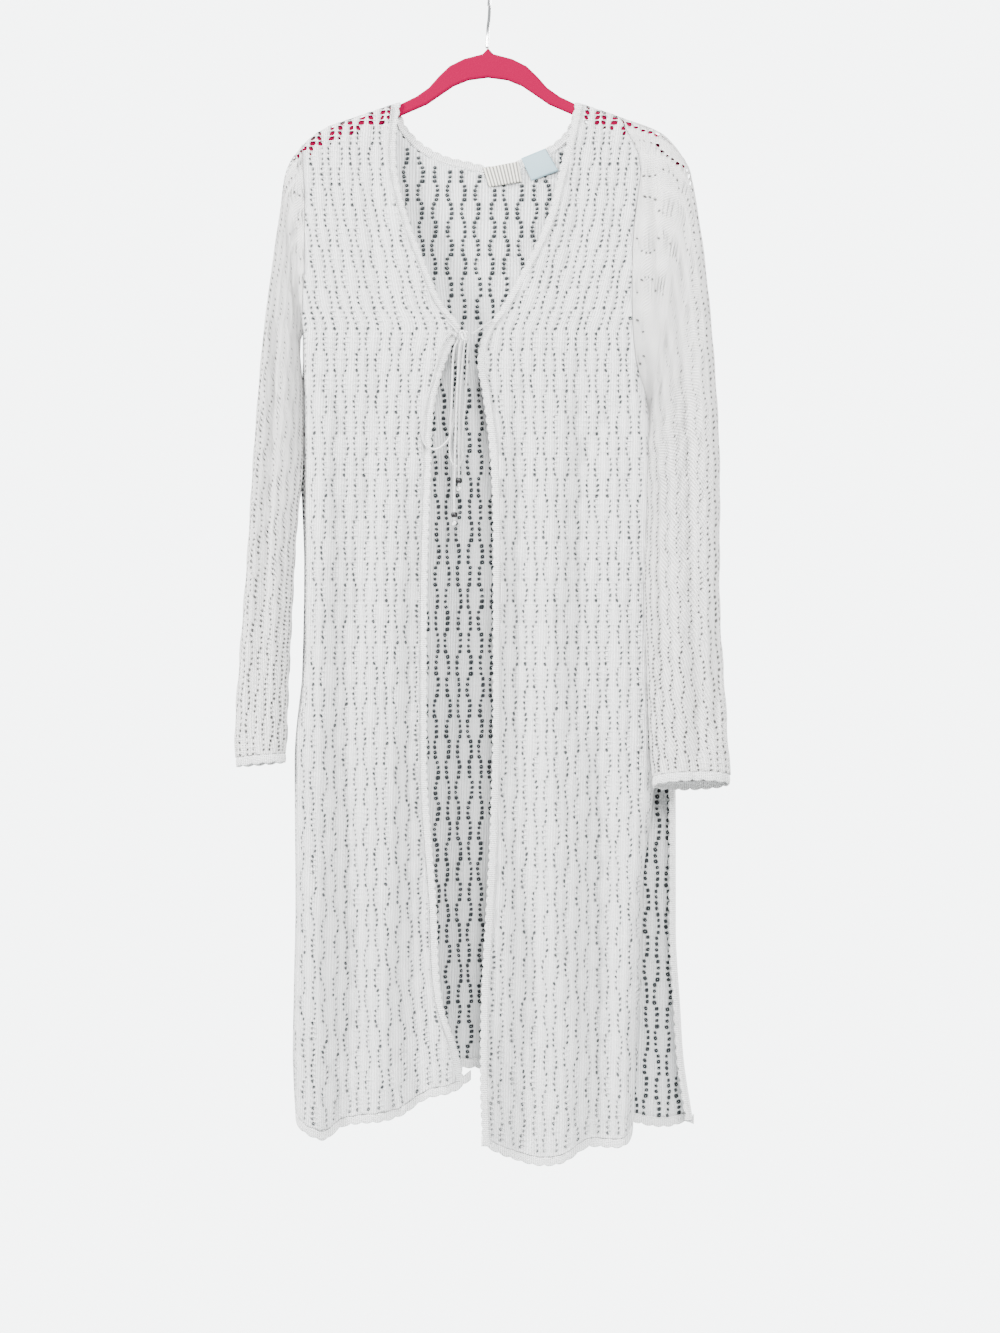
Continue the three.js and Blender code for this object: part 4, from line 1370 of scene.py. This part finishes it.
        def line(at: Band) -> np.ndarray:
            """Points across the folded band.

            Args:
                at: Band to lay on the garment.

            Returns:
                Points in millimetres.
            """
            z = self.slit_top - at.along
            inward = (FRONT_BAND - at.cut) * at.share**1.4
            ahead = self.slit_fold * np.sin(math.pi / 2 * np.minimum(1, 1.5 * at.share)) + 0.5 * at.rise
            return np.stack((RIGHT.back(z) - inward, -SEAM_HALF - ahead, z), axis=-1)

        length = self.slit_top - self.slit_bottom
        return self.edging("crochet_slit", "slit_edging_right", length, line, (1, -0.5, 0))

    def label(self, name: str, material: bpy.types.Material,
              corners: tuple[tuple[float, float], ...]) -> bpy.types.Object:
        """Label sewn to the back's inner side.

        Args:
            name: Name of the piece.
            material: Finish of the label.
            corners: Places across and heights of its four corners.

        Returns:
            The new object.
        """
        a, b, c, d = (np.array(corner) for corner in corners)
        u, v = np.meshgrid(np.linspace(0, 1, 25), np.linspace(0, 1, 13), indexing="ij")
        u, v = u[..., None], v[..., None]
        flat = (a * (1 - u) + b * u) * (1 - v) + (d * (1 - u) + c * u) * v
        lift = 0.6 * np.sin(math.pi * v[..., 0]) * np.sin(math.pi * u[..., 0])
        points = back_point(flat[..., 0], flat[..., 1], -self.label_gap - lift)
        surface = Surface()
        size = np.array((float(np.linalg.norm(b - a)), float(np.linalg.norm(d - a))))
        surface.add_grid(surface.add_points(points, np.concatenate((u, v), axis=-1) * size))
        return thicken(surface.to_object(name, material, always(0, -1, 0)), self.label_thick)


# Sleeve eyelets: dim sets their painted shade, a little lighter than the fronts'.
SLEEVE_EYELETS = Eyelets(
    row_pitch=5.75, puff=1.6, least_wide=0.28, least_tall=0.45, least_area=0.2, dim=0.88,
)
LEFT_SLEEVE = Sleeve(
    name="knit_sleeve_left",
    side=LEFT,
    rings=(
        Ring(-214, -198.5, -209.5, -407, 0, 13, 0), Ring(-220.5, -207.5, -209.7, -412, 0, 14, 0),
        Ring(-227, -225, -210, -425, 0, 15, 1), Ring(-232, -262, -207.5, -450, -2, 15, 2),
        Ring(-240, -318, -206, -485, -4, 15, 3), Ring(-251, -410, -206, -540, -8, 15, 4),
        Ring(-260, -530, -213, -625, -12, 15, 4), Ring(-267, -650, -218, -715, -14, 15, 4),
        Ring(-275, -760, -222, -795, -15, 15, 4), Ring(-280, -845, -224, -855, -16, 15, 3),
        Ring(-279, -873, -225, -868, -16, 15, 2),
    ),
    lines=18,
    cuff_tilt=3,
    creases=(
        Crease(-224, -215, -235, -330, 4, -4), Crease(-235, -300, -242, -600, 4.5, -6),
        Crease(-242, -560, -247, -850, 4.5, -5), Crease(-210, -400, -212, -560, 5, -5),
        Crease(-256, -500, -266, -840, 5, 2.5), Crease(-226, -620, -232, -850, 4, -2.5),
    ),
    eyelets=replace(SLEEVE_EYELETS, line_pitch=9.2, wide=2.7, tall=4.2, sway=1.2, seed=31),
)
RIGHT_SLEEVE = Sleeve(
    name="knit_sleeve_right",
    side=RIGHT,
    rings=(
        Ring(170, -165.7, 177, -479, 0, 16, 0), Ring(186.5, -172.8, 178.5, -484, 0, 16, 0),
        Ring(200, -182.4, 179, -488, 0, 16, 0), Ring(213.5, -197, 180, -496, 0, 16, 1),
        Ring(222.6, -210.5, 177, -502, 0, 16, 1), Ring(228, -229, 176, -510, -2, 16, 2),
        Ring(240, -312, 174, -540, -12, 16, 3), Ring(250, -430, 176, -600, -24, 16, 4),
        Ring(255, -560, 172, -680, -36, 16, 4), Ring(254, -690, 175, -770, -42, 16, 4),
        Ring(260, -810, 178, -850, -45, 16, 3), Ring(265, -891, 181, -893, -46, 16, 2),
    ),
    lines=21,
    cuff_tilt=12,
    creases=(
        Crease(190, -470, 188, -880, 4.5, -6), Crease(247, -700, 249, -850, 5, -6),
        Crease(180, -200, 196, -420, 6, -4), Crease(212, -330, 222, -640, 7, -4),
        Crease(232, -420, 230, -700, 6, 3), Crease(206, -640, 212, -880, 6, 3.5),
        Crease(230, -760, 226, -890, 5, -4),
    ),
    eyelets=replace(SLEEVE_EYELETS, line_pitch=9.7, wide=2.8, tall=4.3, sway=1.3, seed=41),
)


@dataclass
class Sleeves:
    """Both sleeves with their scalloped cuffs."""

    knit: bpy.types.Material
    trim: bpy.types.Material
    scallops: Scallops = Scallops()

    def build(self) -> None:
        for sleeve, word, flat, area in (
            (LEFT_SLEEVE, "left", (0.19, 0.68), 0.118), (RIGHT_SLEEVE, "right", (0.27, 0.73), 0.175),
        ):
            tube_piece = sleeve.build(self.knit)
            cuff = self.cuff(sleeve, word)
            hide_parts(f"sleeve_{word}")
            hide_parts(f"cuff_edging_{word}")
            for piece, slot in ((tube_piece, "knit"), (cuff, "trim")):
                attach(piece, "root")
            LOG.info("%s sleeve", word)

    def cuff(self, sleeve: Sleeve, word: str) -> bpy.types.Object:
        """Edging round the end of a sleeve.

        Args:
            sleeve: Sleeve that it ends.
            word: Name of the side.

        Returns:
            The new object.
        """
        last = float(len(sleeve.rings))
        turned = np.linspace(0, 2 * math.pi, 721)
        ring = sleeve.point(turned, np.full(turned.shape, last))
        centre = ring[:-1].mean(axis=0)
        run = summed(np.linalg.norm(np.diff(ring, axis=0), axis=1))
        shells = round(run[-1] / self.scallops.pitch)
        scallops = Scallops(pitch=float(run[-1]) / shells)

        def line(at: Band) -> np.ndarray:
            """Points across the band.

            Args:
                at: Band to lay on the garment.

            Returns:
                Points in millimetres.
            """
            points = np.stack([np.interp(at.along, run, ring[:, k]) for k in range(3)], axis=-1)
            out = points - centre
            out[..., 2] = 0
            points = points + unit(out) * at.rise[..., None]
            points[..., 2] -= (CUFF_BAND - at.cut) * at.share
            return points

        def outward(p: np.ndarray) -> np.ndarray:
            """Level direction away from the cuff's middle."""
            return (p - centre) * (1, 1, 0)

        return scallops.build(f"crochet_cuff_{word}", float(run[-1]), line, self.trim, outward)


@dataclass(frozen=True)
class Cord:
    """One free length of tie cord."""

    node: str
    route: tuple[tuple[float, float, float], ...]
    far_end: str


CORDS = (
    Cord("tie_cord_left", ((-44, -21.7, -391), (-39, -23, -395), (-32.6, -26.8, -403.4)), "knot"),
    Cord("tie_cord_right", ((4, -21.6, -389), (-6, -23.8, -396), (-18.5, -27, -405.2)), "knot"),
    Cord("tie_loop_wide", (
        (-33.9, -28, -406.4), (-40, -27.5, -403), (-47, -27, -410), (-53, -27, -424),
        (-60, -27, -452), (-68, -27, -480), (-73, -27, -508), (-70, -27, -525), (-61, -27, -532),
        (-50, -27, -528), (-40, -27, -512), (-35, -27, -470), (-31, -26.6, -430),
        (-29.6, -26.4, -413.8),
    ), "object"),
    Cord("tie_loop_narrow", (
        (-33.4, -29.8, -411.6), (-38, -30, -428), (-40, -30, -480), (-42, -30, -528),
        (-40, -30, -545), (-34, -30, -551), (-28.5, -30, -543), (-28, -30, -518),
        (-24, -30, -460), (-21.8, -29.6, -413.4),
    ), "object"),
    Cord("tie_tail_short", (
        (-25.6, -31.4, -413.4), (-27.5, -33, -430), (-31, -33, -480), (-32, -33, -530),
        (-32, -33, -573.4),
    ), "knot"),
    Cord("tie_tail_long", (
        (-29.6, -32.8, -412.2), (-31.8, -35.8, -430), (-35, -36.1, -500), (-36.8, -36.1, -570),
        (-37, -36.1, -611.4),
    ), "knot"),
)


@dataclass
class Tie:
    """Cords at the bust with their bow, beads and knots."""

    trim: bpy.types.Material
    pewter: bpy.types.Material
    cord_width: float = 2.4
    knot_at: tuple[float, float, float] = (-26, -28, -407)
    bead_wide: float = 7.6
    bead_tall: float = 5.6
    bead_round: float = 1.25
    knot_drop: float = 9.4
    knot_reach: float = 1.3
    knot_width: float = 3.0
    plait: float = 0.12
    knot_plait: float = 0.1
    shortest: float = 30.0

    def build(self) -> None:
        """Make the cords and what is threaded on them."""
        waiting = [self.bow_knot()]
        ends = {"tie_tail_short": (-32, -33, -567), "tie_tail_long": (-37, -36.1, -605)}
        for cord in CORDS:
            path = smooth_route(cord.route, 1.0)
            name = cord.node.replace("tie_", "plaited_")
            piece = tube(name, path, self.cord_width, self.trim, plait=self.plait)
            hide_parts(cord.node)
            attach(piece, "root")
            length = float(np.linalg.norm(np.diff(path, axis=0), axis=1).sum())
            LOG.info("%s is %.0f mm long", piece.name, length)
            if length < self.shortest:
                waiting.append(piece)
                continue
            extra, waiting = waiting, []
            if cord.node in ends:
                extra = self.end_pieces(cord.node.rsplit("_", 1)[1], ends[cord.node])

    def bow_knot(self) -> bpy.types.Object:
        """Bow's knot: a wrap over a core of crossing strands.

        Returns:
            The new object.
        """
        x, y, z = self.knot_at
        t = np.linspace(0, 2 * math.pi, 150)
        wrap = np.stack((x - 0.5 + 2.6 * np.cos(3 * t) + 1.6 * np.cos(t),
                         y + 3.4 * np.sin(2 * t) + 0.5 * np.cos(5 * t),
                         z + 4.6 * np.sin(3 * t) + 0.8 * np.cos(2 * t)), axis=-1)
        piece = tube("bow_knot", wrap, self.knot_width, self.trim, 12, self.knot_plait)
        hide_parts("tie_knot")
        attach(piece, "root")
        return piece

    def end_pieces(self, word: str, at: tuple[float, float, float]) -> list[bpy.types.Object]:
        """Bead on a tail and the knot under it.

        Args:
            word: Which tail.
            at: Middle of the bead.

        Returns:
            The bead and the knot.
        """
        x, y, z = at
        select_only()
        bpy.ops.mesh.primitive_torus_add(
            major_segments=40, minor_segments=18, minor_radius=self.bead_round * MM,
            major_radius=(self.bead_wide / 2 - self.bead_round) * MM, location=(x * MM, y * MM, z * MM),
        )
        bead = bpy.context.object
        bead.name = f"metal_bead_{word}"
        bead.scale = (1, 1, self.bead_tall / (2 * self.bead_round))
        bpy.ops.object.transform_apply(location=True, rotation=False, scale=True)
        bpy.ops.object.shade_smooth()
        bead.data.materials.append(self.pewter)
        t = np.linspace(0, 2 * math.pi, 90)
        turns = np.stack((np.cos(2 * t), np.sin(3 * t), np.sin(2 * t + 0.6)), axis=-1)
        wrap = np.array((x, y, z - self.knot_drop)) + self.knot_reach * turns
        knot = tube(f"end_knot_{word}", wrap, self.cord_width, self.trim, plait=self.knot_plait)
        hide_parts(f"tie_bead_{word}")
        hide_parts(f"tie_end_knot_{word}")
        for piece in (bead, knot):
            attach(piece, "root")
        return [bead, knot]


@dataclass
class Hanger:
    """Flocked body, kept as its solid, and a smooth metal hook."""

    flock: bpy.types.Material
    chrome: bpy.types.Material
    wire: float = 3.5
    radius: float = 21.75

    def build(self) -> None:
        """Dress the body and make the hook."""
        body = bpy.data.objects["hanger_body"]
        for slot in body.material_slots:
            slot.material = self.flock
        centre = self.wire / 2 - self.radius
        arc = [(2, self.radius * math.cos(a), centre + self.radius * math.sin(a))
               for a in map(math.radians, range(0, 181, 30))]
        route = ((-1, 0, -80.7), (-0.5, 0, -66), (0, 2.5, -56), (1, 11, -45), (1.5, 19, -33), *arc,
                 (1.5, -20.5, -31), (1, -17, -39))
        hook = tube("metal_hook", smooth_route(route, 1.5), self.wire, self.chrome, 20)
        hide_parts("hanger_hook")
        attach(hook, "root")
        LOG.info("hanger")


@dataclass
class Studio:
    """Pale room: a floor below the view, soft lights and a camera at the garment's height."""

    paper: tuple[float, float, float] = (0.87, 0.9, 0.905)
    aim: tuple[float, float, float] = (0.0134, 0.0, -0.772)
    distance: float = 2.4
    frame_tall: float = 1.49
    floor_height: float = -2.0
    floor_radius: float = 1.25
    room_glow: float = 0.95
    seen_glow: float = 7.2

    def build(self) -> None:
        """Make the floor, world, lights and camera."""
        select_only()
        bpy.ops.mesh.primitive_circle_add(
            vertices=96, radius=self.floor_radius, fill_type="NGON", location=(0, 0, self.floor_height)
        )
        floor = bpy.context.object
        floor.name = "floor"
        floor.data.materials.append(Plain("floor_paper", self.paper, 0.95).make())
        world = bpy.data.worlds.new("room")
        world.use_nodes = True
        tree = world.node_tree
        back = tree.nodes["Background"]
        back.inputs["Color"].default_value = (*self.paper, 1)
        rays = add_node(tree, "LightPath")
        glow = add_node(tree, "Math", {1: self.seen_glow - self.room_glow, 2: self.room_glow},
                        operation="MULTIPLY_ADD")
        tree.links.new(rays.outputs["Is Camera Ray"], glow.inputs[0])
        tree.links.new(glow.outputs["Value"], back.inputs["Strength"])
        bpy.context.scene.world = world
        self.light("key", (-2.4, -1.2, 0.6), 0.7, 310)
        self.light("front", (0.3, -2.3, 0.45), 1.0, 200)
        self.light("fill", (2.2, -2.0, -0.9), 1.6, 60)
        self.light("back_key", (2.3, 2.0, 0.5), 1.2, 330)
        self.camera()

    def light(self, name: str, at: tuple[float, float, float], size: float, watts: float) -> None:
        """Add a soft light aimed at the garment.

        Args:
            name: Name of the light.
            at: Place in metres.
            size: Width in metres.
            watts: Power.
        """
        data = bpy.data.lights.new(name, "AREA")
        data.size = size
        data.energy = watts
        lamp = bpy.data.objects.new(name, data)
        lamp.location = at
        way = Vector(self.aim) - Vector(at)
        lamp.rotation_euler = way.to_track_quat("-Z", "Y").to_euler()
        bpy.context.scene.collection.objects.link(lamp)

    def camera(self) -> None:
        """Add the camera, level and square to the front."""
        data = bpy.data.cameras.new("camera")
        data.sensor_width = 36
        data.lens = data.sensor_width * self.distance / self.frame_tall
        camera = bpy.data.objects.new("camera", data)
        camera.location = (self.aim[0], -self.distance, self.aim[2])
        camera.rotation_euler = (math.pi / 2, 0, 0)
        bpy.context.scene.collection.objects.link(camera)
        bpy.context.scene.camera = camera


def main() -> None:
    """Build the visual model and its studio."""
    logging.basicConfig(level=logging.INFO, format="%(name)s %(message)s")
    # Each cloth's second colour is its painted shade colour, for the eyelets, the troughs and the stitch
    # hollows.
    knit = Cloth("white_knit", (0.86, 0.86, 0.855), (0.045, 0.05, 0.052)).make()
    # The back's copy of the knit is darker and bluer: painted shade for the garment's inside, with
    # near-black eyelet shade.
    shaded_back_knit = Cloth("white_knit_back_painted_shade", (0.82, 0.83, 0.83), (0.008, 0.013, 0.015)).make()
    sleeve_knit = Cloth("white_knit_sleeve", (0.84, 0.83, 0.812), (0.06, 0.058, 0.056)).make()
    trim = Cloth("white_trim", (0.85, 0.85, 0.84), (0.3, 0.3, 0.3), bump=1.0).make()
    cream = Plain("cream_ribbed_tape", (0.66, 0.64, 0.57), 0.7, ribs=3.8).make()
    pale_blue = Plain("pale_blue_satin", (0.20, 0.30, 0.34), 0.55).make()
    flock = Plain("crimson_flock", (0.17, 0.0, 0.024), 1.0, specular=0.0, grain=0.5).make()
    chrome = Plain("chrome", (0.6, 0.61, 0.62), 0.22, metal=1.0).make()
    pewter = Plain("dark_pewter", (0.022, 0.022, 0.023), 0.3, metal=0.7, grain=0.15).make()
    Garment(knit, shaded_back_knit, trim, cream, pale_blue).build()
    Sleeves(sleeve_knit, trim).build()
    Tie(trim, pewter).build()
    Hanger(flock, chrome).build()
    Studio().build()


if __name__ == "__main__":
    main()
